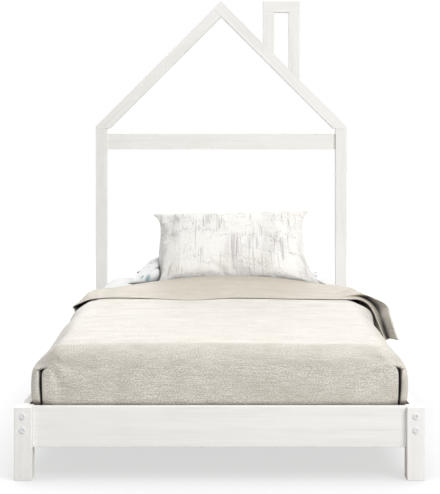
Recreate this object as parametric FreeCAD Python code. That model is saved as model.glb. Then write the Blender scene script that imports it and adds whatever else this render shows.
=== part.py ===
import FreeCAD, Part
import os
from math import cos, pi, sin, radians, sqrt

# A child's low bed with a house-shaped headboard, made up with a mattress, a turned-down bedspread
# and two pillows.  Millimetres.  Seen from the foot, +X is to the right and +Y runs to the
# headboard; +Z is up.  The origin is on the floor under the middle of the frame.

V = FreeCAD.Vector
X, Y, Z = V(1, 0, 0), V(0, 1, 0), V(0, 0, 1)

# ---- timber frame ----
POST = 45.0                     # square section of the posts, rafters and chimney
FOOT_POST_HEIGHT = 185.0
HEAD_POST_HEIGHT = 934.5
RAIL_HEIGHT = 103.0
RAIL_THICKNESS = 20.0
END_RAIL_RECESS = 12.0          # rails of the two ends behind the posts' front faces
CROSSBAR_HEIGHT = 64.0
CROSSBAR_DROP = 22.5            # head post's top down to the crossbar's top
RAFTER_TOE = 8.0                # upright flat at the outer foot of a rafter
CHIMNEY_WIDTH = 151.0
CHIMNEY_OFFSET = 174.5          # middle of the bed to the chimney's inner face
EDGE_EASE = 1.5                 # radius on the timber's edges

# ---- slatted base ----
SLAT_COUNT = 14
SLAT_WIDTH = 70.0
SLAT_THICKNESS = 20.0
SLAT_END_GAP = 2.5              # slat end to side rail
SLAT_FIRST_GAP = 6.0            # end posts to the first and last slat
CLEAT_WIDTH = 20.0
CLEAT_HEIGHT = 28.0
CLEAT_END_GAP = 10.0
CLEAT_SCREW_COUNT = 6

# ---- fastenings ----
BOLT_DIAMETER = 6.0
BOLT_HEAD_DIAMETER = 15.5
BOLT_HEAD_HEIGHT = 3.0
BOLT_SOCKET = 5.0               # across the flats of the hexagon
BOLT_SOCKET_DEPTH = 2.0
BOLT_TOP_DROP = 21.6            # rail's top down to the upper bolt
BOLT_SPACING = 35.0
BOLT_HOLE_CLEARANCE = 0.5       # on the radius
BOLT_PAST_NUT = 8.0
NUT_DIAMETER = 10.0
NUT_LENGTH = 15.0
NUT_SETBACK = 38.0              # rail's end to the nut's middle
NUT_COVER = 2.0                 # timber left behind the nut's blind hole
THREAD_CLEARANCE = 0.05
DOWEL_DIAMETER = 8.0
DOWEL_LENGTH = 40.0
DOWEL_END_SPACE = 1.0
GLUE_CLEARANCE = 0.1
DOWEL_INSET = 20.0              # rail's edge to a dowel; a bed rail's upper one lies between its bolts
RAFTER_DOWEL_INSET = 6.0        # post's middle to the dowel under the rafter's foot
SCREW_DIAMETER = 4.0
SCREW_HEAD_DIAMETER = 8.0
SCREW_HEAD_HEIGHT = 2.4
SCREW_BITE = 14.0               # length of a screw in the piece it holds to
SCREW_CLEARANCE = 0.1

# ---- bedding ----
MATTRESS_WIDTH = 955.0
MATTRESS_LENGTH = 1900.0
MATTRESS_THICKNESS = 195.0
MATTRESS_CORNER = 75.0
MATTRESS_TOP_ROUND = 65.0
MATTRESS_BOTTOM_ROUND = 15.0
MATTRESS_SIDE_GAP = 10.0        # mattress to each side rail
MATTRESS_FOOT_GAP = 8.5         # mattress to the foot rail
MATTRESS_HEAD_GAP = 32.5        # mattress to the lower head rail
SOFT_CLEARANCE = 0.3            # soft pieces that lift off each other
POST_GAP = 2.0                  # bedspread to the foot posts
SPREAD_FOOT_WALL = 6.0          # bedspread over the mattress's foot end
SPREAD_SIDE_WALL = 5.0          # bedspread at the mattress's side, over the rails
SPREAD_TUCK_WALL = 3.0          # the same where it is tucked behind the rails
SPREAD_TOP = 7.0                # bedspread on the mattress, near its edges
SPREAD_CROWN = 5.0              # more at the middle of the bed
SPREAD_SHOULDER_IN = 70.0       # side of the bedspread to its flat top
SPREAD_SHOULDER_DOWN = 74.0     # flat top to the side of the bedspread
SPREAD_FOOT_ROUND = 30.0
SPREAD_TUCK_DEPTH = 35.0        # hem under the rails' top edge
CORNER_FOLD_IN = 27.0           # bedspread's side to the fold at a foot corner
CORNER_FOLD_WIDTH = 4.0
CORNER_FOLD_DEPTH = 3.0
CORNER_FOLD_HEIGHT = 98.0       # above the rails' top edge

TURN_DOWN_SETBACK = 498.0       # mattress's head end to the fold that the pillows stand behind
TURN_DOWN_LENGTH = 410.0        # fold to the hem of the turned-down band
TURN_DOWN_ROUND = 12.0          # length over which both edges of the band round off
HEM_RISE = 10.0                 # band above the bedspread at its hem
FOLD_RISE_MIDDLE = 38.0         # band above the bedspread at its fold, middle of the bed
FOLD_RISE_SIDE = 3.0            # the same at the shoulders
BAND_SHOULDER_IN = 42.0         # the hem's stiffer shoulder, side of the band to its flat top
BAND_SHOULDER_DOWN = 40.0
FLAP_DROP = 128.0               # flat top down to the bottom of the hanging flaps
FLAP_THICKNESS = 4.0
FLAP_STAND_OFF = 13.0           # flap to the bedspread's side at the hem
LEFT_FLAP_FLARE = 2.0           # flap's foot stands out past its shoulder
RIGHT_FLAP_FLARE = 16.0

FRONT_PILLOW_WIDTH = 625.0
FRONT_PILLOW_HEIGHT = 455.0
FRONT_PILLOW_CROWN = 82.0
FRONT_PILLOW_BACK = 34.0
FRONT_PILLOW_LEAN = 33.0        # degrees up from the mattress
FRONT_PILLOW_X = 50.0
REAR_PILLOW_WIDTH = 780.0
REAR_PILLOW_HEIGHT = 455.0
REAR_PILLOW_CROWN = 94.0
REAR_PILLOW_BACK = 12.0
REAR_PILLOW_X = 12.0
REAR_PILLOW_HEAD_GAP = 4.0      # mattress's head end to the rear pillow
FOLD_GAP = 6.0                  # turned-down fold to the front pillow
PILLOW_SEAM = 5.0               # thickness of a pillow along its edge
PILLOW_SIDE_DRAW = 0.035        # how far a long side is drawn in, as a share of the pillow's height
PILLOW_END_DRAW = 0.030         # how far an end is drawn in, as a share of the pillow's width

# ---- places worked out from the sizes ----
mattress_half = MATTRESS_WIDTH / 2
rail_inner = mattress_half + MATTRESS_SIDE_GAP
rail_x = rail_inner + RAIL_THICKNESS / 2
half_width = rail_x + POST / 2
post_inner = half_width - POST
end_rail_inner = (MATTRESS_LENGTH + MATTRESS_FOOT_GAP + MATTRESS_HEAD_GAP) / 2
end_rail_outer = end_rail_inner + RAIL_THICKNESS
end_half = end_rail_outer + END_RAIL_RECESS
frame_half = end_half - POST
rail_top = FOOT_POST_HEIGHT
rail_bottom = rail_top - RAIL_HEIGHT
cleat_top = rail_bottom + CLEAT_HEIGHT
slat_top = cleat_top + SLAT_THICKNESS
crossbar_top = HEAD_POST_HEIGHT - CROSSBAR_DROP
crossbar_bottom = crossbar_top - CROSSBAR_HEIGHT
ridge_z = HEAD_POST_HEIGHT + RAFTER_TOE + half_width
chimney_outer = CHIMNEY_OFFSET + CHIMNEY_WIDTH
bolt_heights = (rail_top - BOLT_TOP_DROP, rail_top - BOLT_TOP_DROP - BOLT_SPACING)
dowel_heights = (rail_bottom + DOWEL_INSET, sum(bolt_heights) / 2)
mattress_foot = -end_rail_inner + MATTRESS_FOOT_GAP
mattress_head = mattress_foot + MATTRESS_LENGTH
mattress_top = slat_top + MATTRESS_THICKNESS
spread_foot = mattress_foot - SPREAD_FOOT_WALL
spread_side = mattress_half + SPREAD_SIDE_WALL
spread_hem = rail_top - SPREAD_TUCK_DEPTH
spread_top = mattress_top + SPREAD_TOP
flap_foot = spread_top - FLAP_DROP
turn_fold = mattress_head - TURN_DOWN_SETBACK
turn_hem = turn_fold - TURN_DOWN_LENGTH

solids = {}                     # node name -> list of its solids


def box(x0, x1, y0, y1, z0, z1):
    return Part.makeBox(x1 - x0, y1 - y0, z1 - z0, V(x0, y0, z0))


def eased(shape):
    """Take the sharpness off every edge of a piece of timber."""
    return shape.makeFillet(EDGE_EASE, shape.Edges)


def timber(name, x0, x1, y0, y1, z0, z1):
    solids[name] = [eased(box(x0, x1, y0, y1, z0, z1))]


def rod(radius, start, direction, length):
    return Part.makeCylinder(radius, length, start, direction)


def drill(names, tool):
    for name in names:
        solids[name] = [solid.cut(tool) for solid in solids[name]]


def add(name, solid):
    solids.setdefault(name, []).append(solid)


def dowel(group, joined, middle, direction):
    """A glued dowel across a joint, with the two holes that it fills."""
    start = middle - direction * (DOWEL_LENGTH / 2)
    add(group, rod(DOWEL_DIAMETER / 2 - GLUE_CLEARANCE, start, direction, DOWEL_LENGTH))
    hole_start = start - direction * DOWEL_END_SPACE
    drill(joined, rod(DOWEL_DIAMETER / 2, hole_start, direction, DOWEL_LENGTH + 2 * DOWEL_END_SPACE))


def prism_xz(points, y0, y1):
    """Extrude a closed outline in the X-Z plane from y0 to y1."""
    corners = [V(x, y0, z) for x, z in points]
    return Part.Face(Part.makePolygon(corners + corners[:1])).extrude(V(0, y1 - y0, 0))


# ---- footboard and side rails ----

def build_footboard():
    for side, sign in (("left", -1), ("right", 1)):
        x = sign * rail_x
        timber("footboard_post_" + side, x - POST / 2, x + POST / 2,
               -end_half, -frame_half, 0, FOOT_POST_HEIGHT)
    timber("footboard_rail", -post_inner, post_inner,
           -end_rail_outer, -end_rail_inner, rail_bottom, rail_top)
    end_rail_dowels("footboard_dowels", "footboard_rail", "footboard_post_",
                    -(end_rail_outer + end_rail_inner) / 2, dowel_heights)


def end_rail_dowels(group, rail, post, y, heights):
    for side, sign in (("left", -1), ("right", 1)):
        for z in heights:
            dowel(group, (rail, post + side), V(sign * post_inner, y, z), X)


def build_side_rails():
    for side, sign in (("left", -1), ("right", 1)):
        x = sign * rail_x
        timber("side_rail_" + side, x - RAIL_THICKNESS / 2, x + RAIL_THICKNESS / 2,
               -frame_half, frame_half, rail_bottom, rail_top)


# ---- headboard ----

def build_headboard():
    for side, sign in (("left", -1), ("right", 1)):
        x = sign * rail_x
        timber("headboard_post_" + side, x - POST / 2, x + POST / 2,
               frame_half, end_half, 0, HEAD_POST_HEIGHT)
    crossbar_front = frame_half + END_RAIL_RECESS
    timber("headboard_crossbar", -post_inner, post_inner,
           crossbar_front, crossbar_front + RAIL_THICKNESS, crossbar_bottom, crossbar_top)
    timber("headboard_lower_rail", -post_inner, post_inner,
           end_rail_inner, end_rail_outer, rail_bottom, rail_top)
    end_rail_dowels("lower_rail_dowels", "headboard_lower_rail", "headboard_post_",
                    (end_rail_outer + end_rail_inner) / 2, dowel_heights)
    end_rail_dowels("crossbar_dowels", "headboard_crossbar", "headboard_post_",
                    crossbar_front + RAIL_THICKNESS / 2,
                    (crossbar_bottom + DOWEL_INSET, crossbar_top - DOWEL_INSET))


def build_roof():
    """The rafters lie at 45 degrees.  The right one runs on to the ridge and the left one butts
    against it; both stand on the posts with a level cut."""
    inner_drop = POST * sqrt(2)             # upright distance from a rafter's top to its underside
    end_step = POST / sqrt(2)
    foot_reach = half_width - (inner_drop - RAFTER_TOE)
    right = [(half_width, HEAD_POST_HEIGHT), (half_width, HEAD_POST_HEIGHT + RAFTER_TOE),
             (0, ridge_z), (-end_step, ridge_z - end_step), (foot_reach, HEAD_POST_HEIGHT)]
    left = [(-half_width, HEAD_POST_HEIGHT), (-half_width, HEAD_POST_HEIGHT + RAFTER_TOE),
            (-end_step, ridge_z - end_step), (0, ridge_z - inner_drop),
            (-foot_reach, HEAD_POST_HEIGHT)]
    solids["roof_rafter_right"] = [eased(prism_xz(right, frame_half, end_half))]
    solids["roof_rafter_left"] = [eased(prism_xz(left, frame_half, end_half))]
    middle_y = frame_half + POST / 2
    for side, sign in (("left", -1), ("right", 1)):
        dowel("rafter_foot_dowels", ("headboard_post_" + side, "roof_rafter_" + side),
              V(sign * (rail_x - RAFTER_DOWEL_INSET), middle_y, HEAD_POST_HEIGHT), Z)
    along_left = V(1, 0, 1).normalize()
    for y in (middle_y - POST / 4, middle_y + POST / 4):
        joint = V(-end_step / 2, y, ridge_z - 1.5 * end_step)
        dowel("ridge_dowels", ("roof_rafter_left", "roof_rafter_right"), joint, along_left)


def build_chimney():
    """Two posts scribed to the right rafter's upper face, with a cap across them as high as the
    ridge."""
    cap_bottom = ridge_z - POST
    middle_y = frame_half + POST / 2
    across_slope = V(1, 0, 1).normalize()
    for name, x0 in (("chimney_post_inner", CHIMNEY_OFFSET),
                     ("chimney_post_outer", chimney_outer - POST)):
        x1 = x0 + POST
        outline = [(x0, ridge_z - x0), (x0, cap_bottom), (x1, cap_bottom), (x1, ridge_z - x1)]
        solids[name] = [eased(prism_xz(outline, frame_half, end_half))]
    timber("chimney_cap", CHIMNEY_OFFSET, chimney_outer, frame_half, end_half, cap_bottom, ridge_z)
    for name, x0 in (("chimney_post_inner", CHIMNEY_OFFSET),
                     ("chimney_post_outer", chimney_outer - POST)):
        x = x0 + POST / 2
        dowel("chimney_dowels", (name, "chimney_cap"), V(x, middle_y, cap_bottom), Z)
        dowel("chimney_dowels", (name, "roof_rafter_right"), V(x, middle_y, ridge_z - x), across_slope)


# ---- bolts, slats and screws ----

def hexagon(flats, centre, direction, length):
    radius = flats / sqrt(3)
    corners = [V(radius * cos(k * pi / 3), radius * sin(k * pi / 3), 0) for k in range(6)]
    prism = Part.Face(Part.makePolygon(corners + corners[:1])).extrude(Z * length)
    prism.Placement = FreeCAD.Placement(centre, FreeCAD.Rotation(Z, direction))
    return prism


def build_bolts():
    """Each side rail is drawn to its posts by two bolts at either end, which screw into barrel
    nuts let into the rail's inner face."""
    hole_radius = BOLT_DIAMETER / 2 + BOLT_HOLE_CLEARANCE
    shank = POST + NUT_SETBACK + BOLT_PAST_NUT
    for end, end_sign in (("footboard", -1), ("headboard", 1)):
        inward = V(0, -end_sign, 0)
        for side, sign in (("left", -1), ("right", 1)):
            for z in bolt_heights:
                seat = V(sign * rail_x, end_sign * end_half, z)
                head = rod(BOLT_HEAD_DIAMETER / 2, seat - inward * BOLT_HEAD_HEIGHT, inward,
                           BOLT_HEAD_HEIGHT)
                rim = [e for e in head.Edges if abs(e.BoundBox.YMin - seat.y) > BOLT_HEAD_HEIGHT / 2
                       and e.BoundBox.YLength < BOLT_HEAD_HEIGHT / 2]
                head = head.makeFillet(BOLT_HEAD_HEIGHT / 3, rim)
                socket = hexagon(BOLT_SOCKET, seat - inward * BOLT_HEAD_HEIGHT, inward,
                                 BOLT_SOCKET_DEPTH)
                bolt = head.cut(socket).fuse(rod(BOLT_DIAMETER / 2, seat, inward, shank))
                add(end + "_bolts", bolt.removeSplitter())

                names = (end + "_post_" + side, "side_rail_" + side)
                drill(names, rod(hole_radius, seat, inward, shank + DOWEL_END_SPACE))
                nut_middle = seat + inward * (POST + NUT_SETBACK)
                mouth = V(sign * rail_inner, nut_middle.y, z)
                outward = V(sign, 0, 0)
                nut_hole = rod(NUT_DIAMETER / 2 + GLUE_CLEARANCE, mouth, outward,
                               RAIL_THICKNESS - NUT_COVER)
                drill(names[1:], nut_hole)
                nut_start = nut_middle - outward * (NUT_LENGTH / 2)
                nut = rod(NUT_DIAMETER / 2, nut_start, outward, NUT_LENGTH)
                thread = rod(BOLT_DIAMETER / 2 + THREAD_CLEARANCE, seat, inward, shank)
                add("barrel_nuts", nut.cut(thread))


def screw(group, through, into, head_centre, direction, through_length):
    """A countersunk screw, flush with the face it is driven from, and its hole."""
    length = through_length + SCREW_BITE
    taper = (SCREW_HEAD_DIAMETER / 2, SCREW_DIAMETER / 2)

    def shape(extra):
        head = Part.makeCone(taper[0] + extra, taper[1] + extra, SCREW_HEAD_HEIGHT,
                             head_centre, direction)
        return head.fuse(rod(taper[1] + extra, head_centre, direction, length + extra))

    add(group, shape(0).removeSplitter())
    drill((through, into), shape(SCREW_CLEARANCE))


def build_slatted_base():
    cleat_inner = rail_inner - CLEAT_WIDTH
    cleat_half = frame_half - CLEAT_END_GAP
    for side, sign in (("left", -1), ("right", 1)):
        low, high = sorted((sign * cleat_inner, sign * rail_inner))
        timber("slat_cleat_" + side, low, high, -cleat_half, cleat_half, rail_bottom, cleat_top)
        step = 2 * cleat_half / CLEAT_SCREW_COUNT
        for k in range(CLEAT_SCREW_COUNT):
            y = -cleat_half + step * (k + 0.5)
            screw("cleat_screws", "slat_cleat_" + side, "side_rail_" + side,
                  V(sign * cleat_inner, y, rail_bottom + CLEAT_HEIGHT / 2), V(sign, 0, 0), CLEAT_WIDTH)

    slat_half = rail_inner - SLAT_END_GAP
    first = -frame_half + SLAT_FIRST_GAP
    pitch = (2 * -first - SLAT_WIDTH) / (SLAT_COUNT - 1)
    for k in range(SLAT_COUNT):
        name = "slat_%02d" % (k + 1)
        y = first + k * pitch
        timber(name, -slat_half, slat_half, y, y + SLAT_WIDTH, cleat_top, slat_top)
        for side, sign in (("left", -1), ("right", 1)):
            x = sign * (cleat_inner + CLEAT_WIDTH / 2)
            screw("slat_screws", name, "slat_cleat_" + side,
                  V(x, y + SLAT_WIDTH / 2, slat_top), Z * -1, SLAT_THICKNESS)


# ---- bedding ----

def mattress_form(room):
    """The mattress, or with some room all round the hollow that it fills."""
    bottom_z, top_z = slat_top - room, mattress_top + room
    block = box(-mattress_half - room, mattress_half + room,
                mattress_foot - room, mattress_head + room, bottom_z, top_z)
    upright = [e for e in block.Edges if e.BoundBox.ZLength > MATTRESS_THICKNESS / 2]
    block = block.makeFillet(MATTRESS_CORNER + room, upright)
    for z, radius in ((top_z, MATTRESS_TOP_ROUND), (bottom_z, MATTRESS_BOTTOM_ROUND)):
        rim = [e for e in block.Edges if abs(e.CenterOfMass.z - z) < EDGE_EASE]
        block = block.makeFillet(radius + room, rim)
    return block


def arc(a, b, c):
    return Part.Arc(a, b, c).toShape()


def spread_section(y, inset, rise_middle, rise_side):
    """Bedspread's outline across the bed: tucked hems, bulging sides, round shoulders and a
    crowned top."""
    side = spread_side - inset
    tuck = mattress_half + SPREAD_TUCK_WALL - inset
    shoulder_z = spread_top + rise_side - inset
    flat = side - SPREAD_SHOULDER_IN
    side_top = shoulder_z - SPREAD_SHOULDER_DOWN
    bulge = side + (side - tuck)
    round_x = side - SPREAD_SHOULDER_IN * (1 - 1 / sqrt(2))
    round_z = shoulder_z - SPREAD_SHOULDER_DOWN * (1 - 1 / sqrt(2))
    crown = V(0, y, shoulder_z + SPREAD_CROWN + rise_middle - rise_side)

    def at(x, z):
        return V(x, y, z)

    edges = []
    middle_z = (spread_hem + side_top) / 2
    edges.append(arc(at(-tuck, spread_hem), at(-bulge, middle_z), at(-side, side_top)))
    edges.append(arc(at(-side, side_top), at(-round_x, round_z), at(-flat, shoulder_z)))
    edges.append(arc(at(-flat, shoulder_z), crown, at(flat, shoulder_z)))
    edges.append(arc(at(flat, shoulder_z), at(round_x, round_z), at(side, side_top)))
    edges.append(arc(at(side, side_top), at(bulge, middle_z), at(tuck, spread_hem)))
    edges.append(Part.LineSegment(at(tuck, spread_hem), at(-tuck, spread_hem)).toShape())
    return Part.Wire(edges)


def band_section(share, rise_middle, rise_side, inset):
    """Turned-down band's outline across the bed, at some share of its length from the hem to the
    fold, with the flaps that hang at the sides."""
    y = turn_hem + share * TURN_DOWN_LENGTH
    shoulder_in = BAND_SHOULDER_IN + share * (SPREAD_SHOULDER_IN - BAND_SHOULDER_IN)
    shoulder_down = BAND_SHOULDER_DOWN + share * (SPREAD_SHOULDER_DOWN - BAND_SHOULDER_DOWN)
    side = spread_side + FLAP_THICKNESS + FLAP_STAND_OFF * (1 - share) - inset
    shoulder_z = spread_top + rise_side - inset
    flat = side - shoulder_in
    side_top = shoulder_z - shoulder_down
    round_x = side - shoulder_in * (1 - 1 / sqrt(2))
    round_z = shoulder_z - shoulder_down * (1 - 1 / sqrt(2))
    crown = V(0, y, spread_top + SPREAD_CROWN + rise_middle - inset)
    left_foot = -(side + LEFT_FLAP_FLARE)
    right_foot = side + RIGHT_FLAP_FLARE

    def at(x, z):
        return V(x, y, z)

    def flap(foot, edge):
        return at(edge + (foot - edge) * 0.4, (flap_foot + side_top) / 2)

    edges = [arc(at(left_foot, flap_foot), flap(left_foot, -side), at(-side, side_top)),
             arc(at(-side, side_top), at(-round_x, round_z), at(-flat, shoulder_z)),
             arc(at(-flat, shoulder_z), crown, at(flat, shoulder_z)),
             arc(at(flat, shoulder_z), at(round_x, round_z), at(side, side_top)),
             arc(at(side, side_top), flap(right_foot, side), at(right_foot, flap_foot)),
             Part.LineSegment(at(right_foot, flap_foot), at(left_foot, flap_foot)).toShape()]
    return Part.Wire(edges)


def turned_band(inset):
    """The band with its flaps, or with an inset the room under them."""
    edge = TURN_DOWN_ROUND / TURN_DOWN_LENGTH
    steps = ((0, HEM_RISE * 0.7, HEM_RISE * 0.7),
             (edge, HEM_RISE, HEM_RISE),
             (0.5, (HEM_RISE + FOLD_RISE_MIDDLE) / 2, (HEM_RISE + FOLD_RISE_SIDE) / 2),
             (1 - edge, FOLD_RISE_MIDDLE, FOLD_RISE_SIDE),
             (1, FOLD_RISE_MIDDLE * 0.7, FOLD_RISE_SIDE * 0.7))
    return Part.makeLoft([band_section(*step, inset) for step in steps], True, True)


def build_bedspread():
    steps = [radians(a) for a in (0, 30, 60, 90)]
    foot = Part.makeLoft([spread_section(spread_foot + SPREAD_FOOT_ROUND * (1 - cos(a)),
                                         SPREAD_FOOT_ROUND * (1 - sin(a)), 0, 0)
                          for a in steps], True, False)
    start = spread_foot + SPREAD_FOOT_ROUND
    body = Part.Face(spread_section(start, 0, 0, 0)).extrude(V(0, turn_fold - start, 0))

    # the flaps stand off the bedspread's shoulders and sides
    room = turned_band(FLAP_THICKNESS).cut(foot).cut(body)
    flat = spread_side - SPREAD_SHOULDER_IN
    room = room.cut(box(-flat, flat, turn_hem - 1, turn_fold + 1, 0, ridge_z))
    spread = foot.fuse(body).fuse(turned_band(0).cut(room)).cut(mattress_form(SOFT_CLEARANCE))

    for sign in (-1, 1):
        x = sign * (spread_side - CORNER_FOLD_IN)
        groove = box(x - CORNER_FOLD_WIDTH / 2, x + CORNER_FOLD_WIDTH / 2,
                     spread_foot - 1, spread_foot + CORNER_FOLD_DEPTH,
                     spread_hem - 1, rail_top + CORNER_FOLD_HEIGHT)
        spread = spread.cut(groove)
        # the tucked corner passes inside the foot post
        low, high = sorted((sign * (post_inner - POST_GAP), sign * half_width))
        spread = spread.cut(box(low, high, -end_half, -frame_half + POST_GAP, 0, rail_top + POST_GAP))
    solids["bedspread"] = spread.Solids


def pillow(width, height, crown, back, room=0.0):
    """A pillow lying flat on its middle plane, seams drawn in between the corners, or with some
    room all round the space that it takes up."""
    half = width / 2

    def section(share):
        full = (1 - abs(share) ** 2.4) ** 0.55
        reach = height / 2 * (1 - PILLOW_SIDE_DRAW * (1 - share ** 2)) + room
        over = crown * full + PILLOW_SEAM / 2 + room
        under = back * full + PILLOW_SEAM / 2 + room
        x = share * (half + room)
        low, high = V(x, -reach, 0), V(x, reach, 0)
        return Part.Wire([arc(low, V(x, 0, over), high), arc(high, V(x, 0, -under), low)])

    shares = (-1, -0.93, -0.8, -0.55, -0.2, 0.2, 0.55, 0.8, 0.93, 1)
    form = Part.makeLoft([section(share) for share in shares], True, False)
    draw = PILLOW_END_DRAW * width
    radius = (height ** 2 / 4 + draw ** 2) / (2 * draw)
    deep = crown + back
    for sign in (-1, 1):
        middle = V(sign * (half + room - draw + radius), 0, -deep)
        form = form.cut(rod(radius, middle, Z, 2 * deep))
    return form


def front_pillow(room=0.0):
    """The front pillow stands on its lower seam behind the turned-down fold and leans back."""
    size = (FRONT_PILLOW_WIDTH, FRONT_PILLOW_HEIGHT, FRONT_PILLOW_CROWN, FRONT_PILLOW_BACK)
    turn = FreeCAD.Rotation(X, FRONT_PILLOW_LEAN)
    form = pillow(*size)
    form.Placement = FreeCAD.Placement(V(0, 0, 0), turn)
    extent = form.optimalBoundingBox(False, False)
    shift = V(FRONT_PILLOW_X, turn_fold + FOLD_GAP - extent.YMin,
              mattress_top + SOFT_CLEARANCE - extent.ZMin)
    form = pillow(*size, room)
    form.Placement = FreeCAD.Placement(shift, turn)
    return form


def build_pillows():
    rear = pillow(REAR_PILLOW_WIDTH, REAR_PILLOW_HEIGHT, REAR_PILLOW_CROWN, REAR_PILLOW_BACK)
    rear_y = mattress_head - REAR_PILLOW_HEAD_GAP - REAR_PILLOW_HEIGHT / 2
    rear_z = mattress_top + REAR_PILLOW_BACK + PILLOW_SEAM / 2 + SOFT_CLEARANCE
    rear.Placement = FreeCAD.Placement(V(REAR_PILLOW_X, rear_y, rear_z), FreeCAD.Rotation())
    solids["front_pillow"] = front_pillow().Solids
    # the rear pillow gives way under the front one
    solids["rear_pillow"] = rear.cut(front_pillow(2 * SOFT_CLEARANCE)).Solids


build_footboard()
build_side_rails()
build_headboard()
build_roof()
build_chimney()
build_bolts()
build_slatted_base()
solids["mattress"] = [mattress_form(0)]
build_bedspread()
build_pillows()

os.makedirs("parts", exist_ok=True)
for name, pieces in solids.items():
    Part.makeCompound(pieces).exportStep(os.path.join("parts", name + ".step"))
    volume = sum(piece.Volume for piece in pieces)
    print("%-24s %3d solids %10.1f cm3" % (name, len(pieces), volume / 1000))
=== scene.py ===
from math import asin, cos, exp, pi, radians, sin, sqrt

import bmesh
import bpy
from bpy.props import (FloatProperty, FloatVectorProperty, IntProperty, PointerProperty)
from mathutils import Matrix, Vector, noise
from mathutils.bvhtree import BVHTree


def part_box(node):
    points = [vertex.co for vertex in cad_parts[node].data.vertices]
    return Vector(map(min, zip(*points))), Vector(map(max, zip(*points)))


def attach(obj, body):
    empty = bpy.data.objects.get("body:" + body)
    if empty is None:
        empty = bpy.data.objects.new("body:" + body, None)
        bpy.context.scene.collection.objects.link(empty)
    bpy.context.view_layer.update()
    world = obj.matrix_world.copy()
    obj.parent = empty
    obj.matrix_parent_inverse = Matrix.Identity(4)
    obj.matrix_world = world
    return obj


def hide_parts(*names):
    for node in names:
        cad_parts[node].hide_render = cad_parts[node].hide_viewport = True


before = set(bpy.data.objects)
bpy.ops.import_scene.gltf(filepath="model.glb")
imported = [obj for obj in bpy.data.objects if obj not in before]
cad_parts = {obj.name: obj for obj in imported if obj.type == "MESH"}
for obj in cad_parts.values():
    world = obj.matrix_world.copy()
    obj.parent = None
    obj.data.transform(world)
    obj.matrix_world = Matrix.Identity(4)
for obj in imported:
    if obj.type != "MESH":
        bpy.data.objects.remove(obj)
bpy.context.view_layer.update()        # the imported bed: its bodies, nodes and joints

bl_info = {
    "name": "House frame bed",
    "version": (1, 0, 0),
    "blender": (4, 5, 0),
    "location": "View3D > Sidebar > House Bed",
    "description": "Finishes the timber of the bed and makes its mattress, bedspread and pillows",
    "category": "Object",
}


def paint(red, green, blue):
    """A colour as a paint card gives it, from 0 to 255, in the linear values that shaders take."""
    return tuple(((c / 255 + 0.055) / 1.055) ** 2.4 for c in (red, green, blue))


def colour(name, description, default):
    return FloatVectorProperty(name=name, description=description, subtype="COLOR", size=3,
                               min=0.0, max=1.0, default=default)


def length(name, description, default):
    return FloatProperty(name=name, description=description, unit="LENGTH", min=0.0,
                         default=default)


def share(name, description, default):
    return FloatProperty(name=name, description=description, subtype="FACTOR", min=0.0, max=1.0,
                         default=default)


# ---- what a user would change ----

class TimberFinish(bpy.types.PropertyGroup):
    whitewash: colour("Whitewash", "Colour of the thin white stain on the frame",
                      paint(247, 246, 243))
    grain: colour("Grain", "Grey-brown that shows through the stain along the grain",
                  paint(214, 210, 203))
    knot: colour("Knots", "Colour of the knots under the stain", paint(196, 188, 178))
    worn_edge: colour("Worn edges", "Timber showing where the stain has worn thin",
                      paint(226, 219, 208))
    slat: colour("Slats", "Bare softwood of the slats and cleats", paint(222, 197, 158))
    slat_grain: colour("Slat grain", "Late wood in the bare softwood", paint(190, 152, 104))
    dowel: colour("Dowels", "Turned hardwood of the dowels", paint(205, 172, 130))
    wear: share("Edge wear", "How far the worn edges show", 0.55)
    streaks: FloatProperty(name="Streaks", description="Grain streaks per metre across the board",
                           min=20.0, default=210.0)


class LinenFinish(bpy.types.PropertyGroup):
    face: colour("Face", "Colour of the bedspread's face", paint(250, 248, 242))
    face_dark: colour("Face threads", "Darker threads of the face", paint(184, 176, 163))
    reverse: colour("Reverse", "Colour of the bedspread's reverse", paint(222, 214, 199))
    reverse_dark: colour("Reverse threads", "Darker threads of the reverse", paint(164, 153, 135))
    thread: length("Thread", "Spacing of the threads", 0.0021)
    sheen: share("Sheen", "Fuzz that lights up at a shallow angle", 0.15)


class BedspreadShape(bpy.types.PropertyGroup):
    cloth: length("Cloth", "Thickness of the cloth", 0.0026)
    ripple: length("Ripples", "Height of the soft ripples across the top", 0.0028)
    pleat: length("Corner pleat", "Depth of the pleat at each foot corner", 0.026)
    hem_line: FloatProperty(name="Hem line", description="Y of the turned-down hem",
                            unit="LENGTH", default=0.030)


class PillowShape(bpy.types.PropertyGroup):
    step: length("Mesh step", "Spacing of the points on the pillowcases", 0.0078)
    pressure: FloatProperty(name="Filling", description="Pressure of the filling", min=0.0,
                            default=3.0)
    frames: IntProperty(name="Frames", description="Frames over which a pillow fills", min=1,
                        default=20)
    front_face: colour("Front pillow", "Ground colour of the front pillowcase",
                       paint(247, 245, 241))
    front_mark: colour("Front streaks", "Faint streaks on the front pillowcase",
                       paint(166, 162, 144))
    rear_face: colour("Rear pillow", "Ground colour of the rear pillowcase", paint(243, 244, 244))
    rear_mark: colour("Rear flecks", "Small flecks on the rear pillowcase", paint(110, 160, 164))


class StageLight(bpy.types.PropertyGroup):
    key: FloatProperty(name="Key", description="Power of the lamp at the upper right", min=0.0,
                       default=272.0)
    behind: FloatProperty(name="Behind", description="Power of the lamp beyond the head end",
                          min=0.0, default=94.0)
    above: FloatProperty(name="Above", description="Strength of the lamp overhead", min=0.0,
                         default=1.15)
    sky: FloatProperty(name="Sky", description="Strength of the light from all round", min=0.0,
                       default=0.40)
    # painted shadow: how bright the floor glows for the camera where its painted contact shadow is
    # deepest
    floor_painted_shadow_glow: share("Floor", "How bright the camera sees the floor in deep shadow", 0.66)


# ---- laying shader nodes ----

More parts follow.
